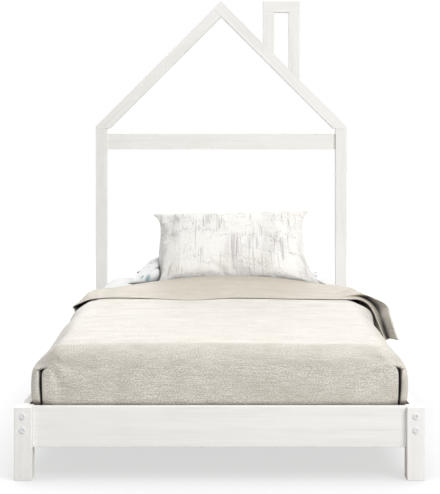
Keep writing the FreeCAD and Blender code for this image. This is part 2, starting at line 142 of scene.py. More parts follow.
class NodeDesk:
    """Places shader nodes in one tree and joins them."""

    def __init__(self, tree):
        self.tree = tree

    def feed(self, socket, value):
        if isinstance(value, bpy.types.Node):
            value = value.outputs[0]
        if isinstance(value, bpy.types.NodeSocket):
            self.tree.links.new(value, socket)
        else:
            socket.default_value = value

    def add(self, kind, inputs=None, **settings):
        node = self.tree.nodes.new("ShaderNode" + kind)
        for name, value in settings.items():
            setattr(node, name, value)
        for name, value in (inputs or {}).items():
            self.feed(node.inputs[name], value)
        return node

    def fill(self, node, **values):
        """Feed a node's inputs by name; an underscore in a name stands for a space."""
        for name, value in values.items():
            self.feed(node.inputs[name.replace("_", " ")], value)
        return node

    def maths(self, operation, first, second=0.0):
        node = self.add("Math", operation=operation)
        for socket, value in zip(node.inputs, (first, second)):
            self.feed(socket, value)
        return node.outputs[0]

    def times(self, first, second):
        return self.maths("MULTIPLY", first, second)

    def plus(self, first, second):
        return self.maths("ADD", first, second)

    def vector(self, operation, first, second=(0, 0, 0)):
        node = self.add("VectorMath", operation=operation)
        self.feed(node.inputs[0], first)
        self.feed(node.inputs[1], second)
        return node.outputs["Value" if operation == "DOT_PRODUCT" else "Vector"]

    def scaled(self, vector, factor):
        node = self.add("VectorMath", operation="SCALE")
        self.feed(node.inputs[0], vector)
        self.feed(node.inputs["Scale"], factor)
        return node.outputs["Vector"]

    def noise(self, vector, stretch, detail=3.0, roughness=0.55, output="Fac"):
        """Noise with so many waves per metre along each axis."""
        node = self.add("TexNoise", {"Vector": self.vector("MULTIPLY", vector, stretch),
                                     "Scale": 1.0, "Detail": detail, "Roughness": roughness})
        return node.outputs[output]

    def swayed(self, place, stretch, amount):
        """A place pushed about by slow noise."""
        push = self.noise(place, stretch, 2.0, output="Color")
        push = self.scaled(self.vector("SUBTRACT", push, (0.5, 0.5, 0.5)), amount)
        return self.vector("ADD", place, push)

    def cells(self, place, stretch, randomness=1.0):
        """Cells with so many to the metre along each axis."""
        return self.add("TexVoronoi", {"Vector": self.vector("MULTIPLY", place, stretch),
                                       "Scale": 1.0, "Randomness": randomness}).outputs

    def bump(self, strength, distance, height, over=None):
        """Relief from a height, laid over another relief where one is given."""
        node = self.add("Bump", {"Strength": strength, "Distance": distance, "Height": height})
        return self.fill(node, Normal=over) if over else node

    def between(self, value, low, high, to_low=0.0, to_high=1.0):
        node = self.add("MapRange", {"Value": value, "From Min": low, "From Max": high,
                                     "To Min": to_low, "To Max": to_high})
        return node.outputs["Result"]

    def mix(self, factor, first, second, blend="MIX"):
        node = self.add("Mix", data_type="RGBA", blend_type=blend)
        for index, value in ((0, factor), (6, first), (7, second)):
            if isinstance(value, (tuple, list)) or hasattr(value, "hsv"):
                value = (*value[:3], 1.0)
            self.feed(node.inputs[index], value)
        return node.outputs[2]


SOCKETS = {"vector": "NodeSocketVector", "value": "NodeSocketFloat", "colour": "NodeSocketColor"}


def shader_group(name, inputs, outputs, lay):
    """Make a node group once.  lay(desk, sources) returns what its outputs give, in order."""
    group = bpy.data.node_groups.get(name)
    if group:
        return group
    group = bpy.data.node_groups.new(name, "ShaderNodeTree")
    for label, kind, default in inputs:
        socket = group.interface.new_socket(name=label, in_out="INPUT", socket_type=SOCKETS[kind])
        if default is not None:
            socket.default_value = default
    for label, kind in outputs:
        group.interface.new_socket(name=label, in_out="OUTPUT", socket_type=SOCKETS[kind])
    source = group.nodes.new("NodeGroupInput")
    sink = group.nodes.new("NodeGroupOutput")
    desk = NodeDesk(group)
    for socket, value in zip(sink.inputs, lay(desk, source.outputs)):
        desk.feed(socket, value)
    return group


def use(desk, group, **inputs):
    """Place a group; an underscore in an input's name stands for a space."""
    return desk.fill(desk.add("Group", node_tree=group), **inputs).outputs


# ---- effects that several materials share ----

def grain_group():
    """Softwood grain along X: slow changes of tone, fine streaks and the odd knot."""
    def lay(desk, source):
        place = desk.swayed(source["Vector"], (2.3, 6.0, 6.0), source["Wander"])
        knots = desk.cells(place, (2.1, 11.0, 11.0))
        chosen = desk.add("SeparateColor", {"Color": knots["Color"]}).outputs[0]
        chosen = desk.between(chosen, 0.60, 0.62)
        knot = desk.times(desk.between(knots["Distance"], 0.05, 0.17, 1.0, 0.0), chosen)
        bend = desk.times(desk.between(knots["Distance"], 0.0, 0.5, 0.010, 0.0), chosen)
        place = desk.vector("ADD", place, desk.add("CombineXYZ", {"Y": bend, "Z": bend}))
        board = desk.noise(place, (1.1, 9.0, 9.0), 3.0)
        across = desk.add("CombineXYZ", {"X": 5.5, "Y": source["Streaks"], "Z": source["Streaks"]})
        streak = desk.noise(place, across, 3.0, 0.60)
        late = desk.noise(place, (1.6, 46.0, 46.0), 2.0)
        streak = desk.between(desk.plus(desk.times(streak, 0.55),
                                        desk.times(late, 0.45)), 0.38, 0.66)
        return desk.between(board, 0.35, 0.68), streak, knot

    return shader_group("softwood_grain",
                        (("Vector", "vector", None), ("Streaks", "value", 200.0),
                         ("Wander", "value", 0.02)),
                        (("Board", "value"), ("Streak", "value"), ("Knot", "value")), lay)


def edge_group():
    """Marks the eased edges of a piece, broken up so that they look rubbed and not drawn."""
    def lay(desk, source):
        rounded = desk.add("Bevel", {"Radius": source["Reach"]}, samples=4)
        straight = desk.add("NewGeometry").outputs["Normal"]
        turned = desk.vector("DOT_PRODUCT", rounded.outputs[0], straight)
        edge = desk.between(turned, 0.99, 0.86)
        broken = desk.noise(source["Vector"], (38.0, 38.0, 38.0), 4.0, 0.7)
        return [desk.times(edge, desk.between(broken, 0.42, 0.66))]

    return shader_group("rubbed_edges", (("Vector", "vector", None), ("Reach", "value", 0.004)),
                        (("Mask", "value"),), lay)


def weave_group():
    """Plain weave with slubs: X runs along the weft and Y along the warp, in metres."""
    def lay(desk, source):
        place, turns = source["Vector"], desk.maths("DIVIDE", 2 * pi, source["Thread"])
        drifted = desk.swayed(place, (9.0, 9.0, 9.0), 0.004)
        axes = desk.add("SeparateXYZ", {"Vector": drifted}).outputs
        warp = desk.maths("SINE", desk.times(axes[0], turns))
        weft = desk.maths("SINE", desk.times(axes[1], turns))
        over = desk.times(warp, weft)
        weft_slub = desk.noise(place, (250.0, 520.0, 60.0), 1.0, 0.5)
        warp_slub = desk.noise(place, (520.0, 250.0, 60.0), 1.0, 0.5)
        long_slub = desk.noise(place, (26.0, 430.0, 60.0), 2.0, 0.6)
        cloud = desk.noise(place, (11.0, 16.0, 11.0), 3.0)
        slub = desk.plus(desk.between(weft_slub, 0.42, 0.58, 0.0, 0.48),
                         desk.between(warp_slub, 0.42, 0.58, 0.0, 0.40))
        slub = desk.plus(slub, desk.between(long_slub, 0.46, 0.62, 0.0, 0.30))
        thread = desk.plus(desk.between(over, -1.0, 1.0, 0.0, 0.35), slub)
        thread = desk.plus(thread, desk.between(cloud, 0.35, 0.65, -0.08, 0.08))
        height = desk.plus(desk.times(over, 0.4), slub)
        return thread, height, slub

    return shader_group("slub_weave", (("Vector", "vector", None), ("Thread", "value", 0.002)),
                        (("Threads", "value"), ("Height", "value"), ("Slubs", "value")), lay)


def crumple_group():
    """Soft creases of washed cloth, as a height in metres."""
    def lay(desk, source):
        broad = desk.noise(source["Vector"], source["Stretch"], 2.0, 0.5)
        fine = desk.noise(source["Vector"], desk.scaled(source["Stretch"], 3.7), 3.0, 0.6)
        crease = desk.maths("ABSOLUTE", desk.maths("SUBTRACT", fine, 0.5))
        height = desk.times(broad, source["Broad"])
        crease = desk.times(desk.between(crease, 0.0, 0.12), source["Fine"])
        return [desk.plus(height, crease)]

    return shader_group("washed_creases",
                        (("Vector", "vector", None), ("Stretch", "vector", (6.0, 6.0, 6.0)),
                         ("Broad", "value", 0.004), ("Fine", "value", 0.001)),
                        (("Height", "value"),), lay)


def painted_fold_shade_group():
    """Painted shade: darkens a colour deep inside folds and where two pieces lie together, by how
    little open sky ambient occlusion finds there.
    """
    def lay(desk, source):
        open_share = desk.add("AmbientOcclusion", {"Distance": source["Reach"]}, samples=8)
        deep = desk.between(open_share.outputs["AO"], source["Open"], source["Shut"])
        deep = desk.times(deep, source["Strength"])
        # painted shade: the less open the spot, the nearer the colour goes to the dark shade colour
        return [desk.mix(deep, source["Color"], source["Deep"])]

    return shader_group("painted_fold_shade",
                        (("Color", "colour", None), ("Deep", "colour", (0.02, 0.018, 0.015, 1)),
                         ("Reach", "value", 0.03), ("Open", "value", 0.80), ("Shut", "value", 0.20),
                         ("Strength", "value", 0.9)),
                        (("Color", "colour"),), lay)


def stitch_group():
    """A row of stitches where Distance passes Line; Along counts the stitches."""
    def lay(desk, source):
        off = desk.maths("ABSOLUTE", desk.maths("SUBTRACT", source["Distance"], source["Line"]))
        on_line = desk.between(off, 0.0006, 0.0014, 1.0, 0.0)
        step = desk.maths("FRACT", desk.maths("DIVIDE", source["Along"], source["Stitch"]))
        stitch = desk.times(desk.between(step, 0.12, 0.22),
                            desk.between(step, 0.78, 0.88, 1.0, 0.0))
        furrow = desk.between(off, 0.0, 0.004, 1.0, 0.0)
        return desk.times(on_line, stitch), furrow

    return shader_group("stitch_row",
                        (("Distance", "value", 0.0), ("Line", "value", 0.02),
                         ("Along", "value", 0.0), ("Stitch", "value", 0.0045)),
                        (("Stitches", "value"), ("Furrow", "value")), lay)


# ---- materials ----

def new_material(name):
    """An empty material, its desk, its Principled shader and the piece's own coordinates."""
    material = bpy.data.materials.new(name)
    material.use_nodes = True
    desk = NodeDesk(material.node_tree)
    shader = material.node_tree.nodes["Principled BSDF"]
    place = desk.add("TexCoord").outputs["Object"]
    return material, desk, shader, place


GRAIN_TURNS = {"across": (0, 0, 0), "upright": (0, pi / 2, 0), "lengthways": (0, 0, -pi / 2),
               "left_slope": (0, pi / 4, 0), "right_slope": (0, 3 * pi / 4, 0)}


def whitewashed(direction, finish):
    """Softwood under a thin white stain, its grain running in the named direction."""
    material, desk, shader, place = new_material("whitewash_" + direction)
    turned = desk.add("Mapping", {"Vector": place, "Rotation": GRAIN_TURNS[direction]})
    grain = use(desk, grain_group(), Vector=turned, Streaks=finish.streaks, Wander=0.02)
    edge = use(desk, edge_group(), Vector=place, Reach=0.0045)
    patchy = desk.noise(place, (5.0, 5.0, 5.0), 4.0, 0.6)
    brush = desk.noise(turned, (16.0, 120.0, 120.0), 3.0)
    thin = desk.times(desk.between(patchy, 0.36, 0.66, 0.25, 1.0), grain["Streak"])
    tone = desk.mix(desk.times(thin, 0.42), finish.whitewash, finish.grain)
    tone = desk.mix(desk.times(grain["Board"], 0.16), tone, finish.grain)
    tone = desk.mix(desk.times(grain["Knot"], 0.34), tone, finish.knot)
    tone = desk.mix(desk.between(brush, 0.58, 0.74, 0.0, 0.30), tone, finish.whitewash)
    tone = desk.mix(desk.times(edge["Mask"], finish.wear), tone, finish.worn_edge)
    rough = desk.plus(desk.between(grain["Streak"], 0.0, 1.0, 0.64, 0.74),
                      desk.times(edge["Mask"], 0.10))
    height = desk.maths("SUBTRACT", desk.between(brush, 0.3, 0.7, 0.0, 0.5),
                        desk.times(grain["Streak"], 0.8))
    desk.fill(shader, Base_Color=tone, Roughness=rough, Specular_IOR_Level=0.3,
              Normal=desk.bump(0.12, 0.0004, height))
    return material


def bare_timber(name, light, dark, direction, streaks):
    """Planed timber without a finish."""
    material, desk, shader, place = new_material(name)
    turned = desk.add("Mapping", {"Vector": place, "Rotation": GRAIN_TURNS[direction]})
    grain = use(desk, grain_group(), Vector=turned, Streaks=streaks, Wander=0.03)
    tone = desk.mix(desk.times(grain["Streak"], 0.75), light, dark)
    tone = desk.mix(desk.times(grain["Board"], 0.30), tone, dark)
    tone = desk.mix(desk.times(grain["Knot"], 0.75), tone, tuple(c * 0.45 for c in dark))
    desk.fill(shader, Base_Color=tone,
              Roughness=desk.between(grain["Streak"], 0.0, 1.0, 0.55, 0.72),
              Normal=desk.bump(0.5, 0.0004, grain["Streak"]))
    return material


def metal(name, base, worn, metallic, rough):
    """Metal, painted or plated, with rubbed edges and fine marks."""
    material, desk, shader, place = new_material(name)
    edge = use(desk, edge_group(), Vector=place, Reach=0.0009)
    marks = desk.noise(place, (900.0, 900.0, 900.0), 3.0)
    cloud = desk.noise(place, (120.0, 120.0, 120.0), 2.0)
    tone = desk.mix(desk.times(edge["Mask"], 0.7), base, worn)
    tone = desk.mix(desk.between(cloud, 0.4, 0.7, 0.0, 0.22), tone, worn)
    desk.fill(shader, Base_Color=tone, Metallic=metallic,
              Roughness=desk.between(marks, 0.3, 0.7, rough - 0.08, rough + 0.1),
              Normal=desk.bump(0.2, 0.00005, marks))
    return material


def linen(name, light, dark, finish, reach):
    """Linen of mixed threads.  The map holds its place on the flat cloth in metres, and the
    second map its distances from the hems."""
    material, desk, shader, _ = new_material(name)
    flat = desk.add("UVMap", uv_map="cloth").outputs[0]
    hems = desk.add("UVMap", uv_map="hems").outputs[0]
    weave = use(desk, weave_group(), Vector=flat, Thread=finish.thread)
    crumple = use(desk, crumple_group(), Vector=flat, Stretch=(2.6, 14.0, 5.0), Broad=0.0050,
                  Fine=0.0007)
    to_hem = desk.add("SeparateXYZ", {"Vector": hems}).outputs
    along = desk.add("SeparateXYZ", {"Vector": flat}).outputs
    end_row = use(desk, stitch_group(), Distance=to_hem[1], Line=0.022, Along=along[0])
    side_row = use(desk, stitch_group(), Distance=to_hem[0], Line=0.022, Along=along[1])
    stitches = desk.maths("MAXIMUM", end_row["Stitches"], side_row["Stitches"])
    furrow = desk.maths("MAXIMUM", end_row["Furrow"], side_row["Furrow"])
    tone = desk.mix(weave["Threads"], light, dark)
    uneven = desk.noise(flat, (2.2, 13.0, 3.0), 3.0, 0.6)
    tone = desk.mix(desk.between(uneven, 0.42, 0.62, 0.0, 0.26), tone, dark)
    # painted shade: besides its relief, the furrow beside each stitch row is darkened in colour
    tone = desk.mix(desk.times(furrow, 0.25), tone, dark)
    tone = desk.mix(desk.times(stitches, 0.6), tone, light)
    # painted shade: the cloth's colour is darkened inside folds and where it lies against other
    # pieces
    tone = use(desk, painted_fold_shade_group(), Color=tone, Reach=reach)[0]
    threads = desk.bump(0.55, 0.0006, weave["Height"])
    raised = desk.maths("SUBTRACT", desk.times(stitches, 0.5), furrow)
    sewn = desk.bump(0.6, 0.0010, raised, threads)
    desk.fill(shader, Base_Color=tone,
              Roughness=desk.between(weave["Slubs"], 0.0, 1.0, 0.42, 0.56),
              Sheen_Weight=finish.sheen, Sheen_Roughness=0.30, Specular_IOR_Level=0.75,
              Normal=desk.bump(0.6, 1.0, crumple["Height"], sewn))
    return material


def cotton_base(name):
    """Plain cotton percale with washed creases; returns what a print needs."""
    material, desk, shader, _ = new_material(name)
    flat = desk.add("UVMap", uv_map="cloth").outputs[0]
    weave = use(desk, weave_group(), Vector=flat, Thread=0.0011)
    crumple = use(desk, crumple_group(), Vector=flat, Stretch=(8.0, 8.0, 8.0), Broad=0.006,
                  Fine=0.0013)
    threads = desk.bump(0.3, 0.0002, weave["Height"])
    desk.fill(shader, Roughness=desk.between(weave["Slubs"], 0.0, 1.0, 0.78, 0.88),
              Sheen_Weight=0.25, Sheen_Roughness=0.4, Specular_IOR_Level=0.3,
              Normal=desk.bump(0.75, 1.0, crumple["Height"], threads))
    return material, desk, shader, flat, weave


def print_with_painted_shade(desk, shader, tone):
    """Lay a print on the cotton, with painted shade where the case lies against something."""
    tone = use(desk, painted_fold_shade_group(), Color=tone, Reach=0.060, Open=0.92, Shut=0.48)[0]
    desk.fill(shader, Base_Color=tone)


def streaked_cotton(shape):
    """The front pillowcase: ivory with faint upright streaks and short dashes."""
    material, desk, shader, flat, weave = cotton_base("streaked_cotton")
    axes = desk.add("SeparateXYZ", {"Vector": flat}).outputs
    streak = desk.noise(flat, (150.0, 4.5, 1.0), 2.0, 0.6)
    patch = desk.noise(flat, (15.0, 6.0, 1.0), 2.0, 0.6)
    dash = desk.noise(flat, (120.0, 170.0, 1.0), 1.0)
    rows = desk.noise(flat, (7.0, 26.0, 1.0), 2.0)
    lines = desk.times(desk.between(streak, 0.52, 0.60), desk.between(patch, 0.48, 0.56))
    dashes = desk.times(desk.between(dash, 0.55, 0.62), desk.between(rows, 0.52, 0.58))
    inside = desk.between(desk.maths("ABSOLUTE", axes[1]), 0.222, 0.185)
    tint = desk.noise(flat, (6.0, 6.0, 1.0), 1.0)
    mark = desk.mix(desk.between(tint, 0.42, 0.58), shape.front_mark, paint(160, 154, 160))
    ground = desk.mix(desk.times(weave["Threads"], 0.10), shape.front_face, shape.front_mark)
    strength = desk.times(desk.maths("MAXIMUM", lines, dashes), inside)
    tone = desk.mix(desk.times(strength, 0.60), ground, mark)
    wash = desk.between(desk.noise(flat, (10.0, 2.6, 1.0), 3.0), 0.47, 0.66, 0, 0.22)
    tone = desk.mix(desk.times(wash, inside), tone, mark)
    print_with_painted_shade(desk, shader, tone)
    return material


def flecked_cotton(shape):
    """The rear pillowcase: white with sparse small flecks of grey and blue-green."""
    material, desk, shader, flat, weave = cotton_base("flecked_cotton")
    flecks = desk.cells(flat, (34.0, 34.0, 1.0))
    pick = desk.add("SeparateColor", {"Color": flecks["Color"]}).outputs
    ragged = desk.noise(flat, (160.0, 160.0, 1.0), 3.0)
    size = desk.plus(flecks["Distance"], desk.times(desk.maths("SUBTRACT", ragged, 0.5), 0.7))
    blot = desk.times(desk.between(size, 0.24, 0.36, 1.0, 0.0), desk.between(pick[0], 0.50, 0.54))
    mark = desk.mix(desk.between(pick[1], 0.55, 0.60), paint(150, 150, 152), shape.rear_mark)
    twig = desk.noise(flat, (24.0, 24.0, 1.0), 2.0)
    line = desk.between(desk.maths("ABSOLUTE", desk.maths("SUBTRACT", twig, 0.5)), 0.010, 0.022,
                        1.0, 0.0)
    line = desk.times(line, desk.between(desk.noise(flat, (7.0, 7.0, 1.0)), 0.52, 0.58))
    ground = desk.mix(desk.times(weave["Threads"], 0.06), shape.rear_face, paint(200, 202, 204))
    tone = desk.mix(desk.times(blot, 0.70), ground, mark)
    tone = desk.mix(desk.times(line, 0.75), tone, paint(128, 130, 134))
    print_with_painted_shade(desk, shader, tone)
    return material


def knit_cover():
    """The mattress's knitted cover, with quilting that follows its mesh."""
    material, desk, shader, place = new_material("mattress_knit")
    loops = desk.cells(place, (420, 560, 420), 0.25)
    rows = desk.noise(place, (60.0, 420.0, 420.0), 2.0)
    tone = desk.mix(desk.between(loops["Distance"], 0.1, 0.7, 0.0, 0.5),
                    paint(240, 240, 237), paint(214, 215, 214))
    tone = desk.mix(desk.between(rows, 0.45, 0.7, 0.0, 0.25), tone, paint(205, 206, 206))
    desk.fill(shader, Base_Color=tone, Roughness=desk.between(rows, 0.3, 0.7, 0.82, 0.92),
              Sheen_Weight=0.3, Normal=desk.bump(0.4, 0.0006, loops["Distance"]))
    return material


def tape():
    """Woven tape over the mattress's edge seams."""
    material, desk, shader, place = new_material("edge_tape")
    twill = desk.add("TexWave", {"Vector": place, "Scale": 260.0, "Distortion": 0.6,
                                 "Detail": 1.0}, bands_direction="DIAGONAL").outputs["Fac"]
    tone = desk.mix(desk.between(twill, 0.2, 0.8, 0.0, 0.6), paint(228, 228, 225),
                    paint(188, 189, 188))
    desk.fill(shader, Base_Color=tone, Roughness=desk.between(twill, 0.0, 1.0, 0.72, 0.85),
              Normal=desk.bump(0.4, 0.0003, twill))
    return material


def dress(names, material):
    """Give carried-over CAD nodes a material."""
    for name in names:
        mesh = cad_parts[name].data
        mesh.materials.clear()
        mesh.materials.append(material)


# ---- meshes ----

def ease(t):
    t = min(1.0, max(0.0, t))
    return t * t * (3 - 2 * t)


def blended(a, b, t):
    return a + (b - a) * t


def ripple(x, y, z=0.0):
    """Smooth noise from -1 to 1 that is the same on every run."""
    return noise.noise(Vector((x, y, z)))


def mesh_object(name, points, faces, materials, body):
    mesh = bpy.data.meshes.new(name)
    mesh.from_pydata(points, [], faces)
    mesh.update()
    for material in materials:
        mesh.materials.append(material)
    mesh.polygons.foreach_set("use_smooth", [True] * len(mesh.polygons))
    piece = bpy.data.objects.new(name, mesh)
    bpy.context.scene.collection.objects.link(piece)
    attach(piece, body)
    return piece


def grid_faces(columns, rows, start=0):
    """Quads of a grid whose points are laid row by row."""
    return [(start + r * columns + c, start + r * columns + c + 1,
             start + (r + 1) * columns + c + 1, start + (r + 1) * columns + c)
            for r in range(rows - 1) for c in range(columns - 1)]


def rounded_ring(half_x, half_y, radius, corner_steps, side_x, side_y):
    """Points round a rounded rectangle, the same number for every size."""
    points = []
    spans = (side_y, side_x, side_y, side_x)
    for k, (sx, sy) in enumerate(((1, -1), (1, 1), (-1, 1), (-1, -1))):
        start = -pi / 2 + k * pi / 2
        centre = (sx * (half_x - radius), sy * (half_y - radius))
        for j in range(corner_steps + 1):
            a = start + j * pi / 2 / corner_steps
            points.append((centre[0] + radius * cos(a), centre[1] + radius * sin(a)))
        following = ((1, 1), (-1, 1), (-1, -1), (1, -1))[k]
        first = points[-1]
        last = (following[0] * (half_x - radius) + radius * cos(a),
                following[1] * (half_y - radius) + radius * sin(a))
        for j in range(1, spans[k]):
            points.append((blended(first[0], last[0], j / spans[k]),
                           blended(first[1], last[1], j / spans[k])))
    return points


def tube(path, radius, sides=8):
    """Points and faces of a closed cord that follows a closed path."""
    points, faces, count = [], [], len(path)
    for k, middle in enumerate(path):
        along = (path[(k + 1) % count] - path[k - 1]).normalized()
        side = along.cross(Vector((0, 0, 1))).normalized()
        lift = side.cross(along)
        for j in range(sides):
            a = 2 * pi * j / sides
            points.append(middle + side * (radius * cos(a)) + lift * (radius * sin(a)))
        for j in range(sides):
            faces.append((k * sides + j, k * sides + (j + 1) % sides,
                          (k + 1) % count * sides + (j + 1) % sides, (k + 1) % count * sides + j))
    return points, faces


def slumped(point):
    """The shoulders of the mattress, and of the bedspread on it, sink towards the foot end."""
    sinks = exp(-((abs(point.x) - 0.456) / 0.030) ** 2) * ease((point.z - 0.258) / 0.04)
    sinks *= ease((-point.y - 0.40) / 0.35) * (1.0 if point.x < 0 else 0.5)
    return point - Vector((0.005 * sinks * (1 if point.x > 0 else -1), 0, 0.0125 * sinks))


def make_mattress():
    """A foam mattress in a quilted knitted cover, with tape over its edge seams."""
    low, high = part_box("mattress")
    middle = (low + high) / 2
    half_x, half_y = 0.4770, 0.9495
    corner_steps, side_x, side_y = 12, 66, 140
    bottom, top, top_round, foot_round, corner = low.z, high.z - 0.0015, 0.064, 0.015, 0.075

    levels = [(foot_round * 2.4, bottom)]      # how far in from the side, and how high
    for k in range(5):
        a = k * pi / 2 / 4
        levels.append((foot_round * (1 - sin(a)), bottom + foot_round * (1 - cos(a))))
    for k in range(1, 8):
        levels.append((0.0, blended(bottom + foot_round, top - top_round, k / 8)))
    for k in range(13):
        a = k * pi / 2 / 12
        levels.append((top_round * (1 - cos(a)), top - top_round * (1 - sin(a))))
    steps_in = 50
    for k in range(1, steps_in + 1):
        levels.append((blended(top_round, half_x - 0.003, k / steps_in), top))

    diamond, sewn_down = 0.115, 0.0042

    def quilting(x, y, share_in):
        """Height of the quilted panel: diamonds sewn down on crossing lines."""
        first = abs(((x + y) / diamond) % 1.0 - 0.5) * 2
        second = abs(((x - y) / diamond) % 1.0 - 0.5) * 2
        valley = min(1 - first, 1 - second)
        return -sewn_down * (1 - ease(valley / 0.32)) * share_in

    bm = bmesh.new()
    rings = []
    for inset, z in levels:
        ring = rounded_ring(half_x - inset, half_y - inset, max(corner - inset, 0.002),
                            corner_steps, side_x, side_y)
        bulge = 0.0022 * sin(pi * min(1, max(0, (z - bottom) / (top - bottom)))) \
            if inset == 0 else 0.0
        rings.append([bm.verts.new((middle.x + x * (1 - bulge), middle.y + y * (1 - bulge / 2), z))
                      for x, y in ring])
    count = len(rings[0])
    for lower, upper in zip(rings, rings[1:]):
        for k in range(count):
            bm.faces.new((lower[k], lower[(k + 1) % count], upper[(k + 1) % count], upper[k]))
    bm.faces.new(rings[0])
    bm.faces.new(rings[-1])
    bmesh.ops.recalc_face_normals(bm, faces=bm.faces)
    for vertex in bm.verts:
        if vertex.co.z > top - 0.002:
            inner = ease((half_x - abs(vertex.co.x - middle.x) - top_round) / 0.03) \
                * ease((half_y - abs(vertex.co.y - middle.y) - top_round) / 0.03)
            vertex.co.z += quilting(vertex.co.x, vertex.co.y, inner)
        vertex.co = slumped(vertex.co)
    mesh = bpy.data.meshes.new("mattress_cover")
    bm.to_mesh(mesh)
    bm.free()
    mesh.materials.append(knit_cover())
    mesh.polygons.foreach_set("use_smooth", [True] * len(mesh.polygons))
    cover = bpy.data.objects.new("mattress_cover", mesh)
    bpy.context.scene.collection.objects.link(cover)
    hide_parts("mattress")
    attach(cover, "mattress_body")

    tape_material = tape()
    sunk, thick = 0.0012, 0.0026        # the tape lies a little into the cover
    ring = rounded_ring(half_x - sunk, half_y - sunk, corner, corner_steps, side_x, side_y)
    for name, z in (("mattress_tape_top", top - top_round - 0.006),
                    ("mattress_tape_bottom", bottom + foot_round + 0.006)):
        path = [Vector((middle.x + x, middle.y + y, z)) for x, y in ring]
        points, faces = tube(path, thick)
        mesh_object(name, points, faces, [tape_material], "mattress_body")


# ---- bedspread ----

SIDE_IN, SIDE_DOWN = 0.070, 0.074       # round shoulder along each side
FOOT_IN, FOOT_DOWN = 0.044, 0.046       # the same over the foot end
SHOULDER_STEPS, DROP_STEPS = 18, 18
STEPS_DOWN = SHOULDER_STEPS + DROP_STEPS
TOP_STEPS, LENGTH_STEPS, BAND_STEPS, FOLD_STEPS = 96, 142, 60, 8
SPREAD_TOP, SPREAD_SIDE = 0.3325, 0.4825
FLAT_X = SPREAD_SIDE - SIDE_IN
CROWN = 0.005
FLAP_FOOT = 0.206
CLOTH_STEP = 0.0061                     # width of cloth that each column down a side takes
PLEAT_SEATS = {-1: 0.0447, 1: 0.0482}   # how far out the left and right corner pleats are
# how far the painted shade in folds reaches on the face and on the reverse; the reverse reaches
# further so the hanging flap comes out dark
FACE_SHADE_REACH, REVERSE_SHADE_REACH = 0.020, 0.085        # how near cloth darkens each side in a fold

# heights of the turned-down band above the flat top: along its hem and along the fold
HEM_LINE = ((-0.4125, 0.0070), (-0.36, 0.0092), (-0.25, 0.0070), (-0.10, 0.0008), (0.05, 0.0080),
            (0.20, 0.0058), (0.35, 0.0036), (0.4125, 0.0032))
FOLD_LINE = ((-0.4125, -0.0040), (-0.304, 0.0125), (-0.133, 0.0345), (0.01, 0.0415),
             (0.18, 0.0365), (0.376, 0.0125), (0.4125, 0.0080))

# the left end of the band at its hem, from the flat top round the shoulder and down
LEFT_HEM = ((0.0, Vector((0.4125, 0.3395))), (0.12, Vector((0.4470, 0.3340))),
            (0.26, Vector((0.4740, 0.3235))), (0.42, Vector((0.4985, 0.3110))),
            (0.58, Vector((0.4915, 0.2960))), (0.80, Vector((0.4895, 0.2550))),
            (1.0, Vector((0.4890, 0.2080))))
# the right end has slid forward: its hem, the valley behind it and the next crest
RIGHT_HEM = ((0.0, Vector((0.4125, 0.030, 0.3357))), (0.15, Vector((0.4615, 0.022, 0.3365))),
             (0.35, Vector((0.4870, -0.035, 0.3305))), (0.55, Vector((0.4990, -0.100, 0.3135))),
             (0.75, Vector((0.5060, -0.170, 0.2870))), (1.0, Vector((0.5200, -0.250, 0.2400))))
RIGHT_VALLEY = ((0.0, Vector((0.4125, 0.055, 0.3375))), (0.15, Vector((0.4710, 0.060, 0.3410))),
                (0.35, Vector((0.5120, 0.030, 0.3290))), (0.55, Vector((0.5330, -0.030, 0.3075))),
                (0.75, Vector((0.5440, -0.093, 0.2790))), (1.0, Vector((0.5535, -0.172, 0.2360))))
RIGHT_CREST = ((0.0, Vector((0.4125, 0.080, 0.3395))), (0.15, Vector((0.4750, 0.060, 0.3495))),
               (0.35, Vector((0.5165, -0.020, 0.3430))), (0.55, Vector((0.5450, -0.108, 0.3300))),
               (0.75, Vector((0.5430, -0.202, 0.3040))), (1.0, Vector((0.5500, -0.310, 0.2500))))


def trace(table, x):
    """Where a smooth line through the table's points is at x."""
    x = min(table[-1][0], max(table[0][0], x))
    k = max(j for j in range(len(table) - 1) if table[j][0] <= x)

    def slope(j):
        before, after = table[max(j - 1, 0)], table[min(j + 1, len(table) - 1)]
        return (after[1] - before[1]) / (after[0] - before[0])

    span = table[k + 1][0] - table[k][0]
    t = (x - table[k][0]) / span
    return (table[k][1] * (2 * t ** 3 - 3 * t ** 2 + 1)
            + slope(k) * (span * (t ** 3 - 2 * t ** 2 + t))
            + table[k + 1][1] * (3 * t ** 2 - 2 * t ** 3)
            + slope(k + 1) * (span * (t ** 3 - t ** 2)))


def spread_profile(k, width_in, down, hem_drop):
    """How far out and down the cloth is, k steps past its flat top."""
    if k <= SHOULDER_STEPS:
        a = k / SHOULDER_STEPS * pi / 2
        return width_in * sin(a), down * (1 - cos(a))
    t = (k - SHOULDER_STEPS) / DROP_STEPS
    tuck = 0.0025 * ease((t - 0.55) / 0.3)
    return width_in + 0.0016 * sin(pi * min(1, t / 0.8)) - tuck, blended(down, hem_drop, t)


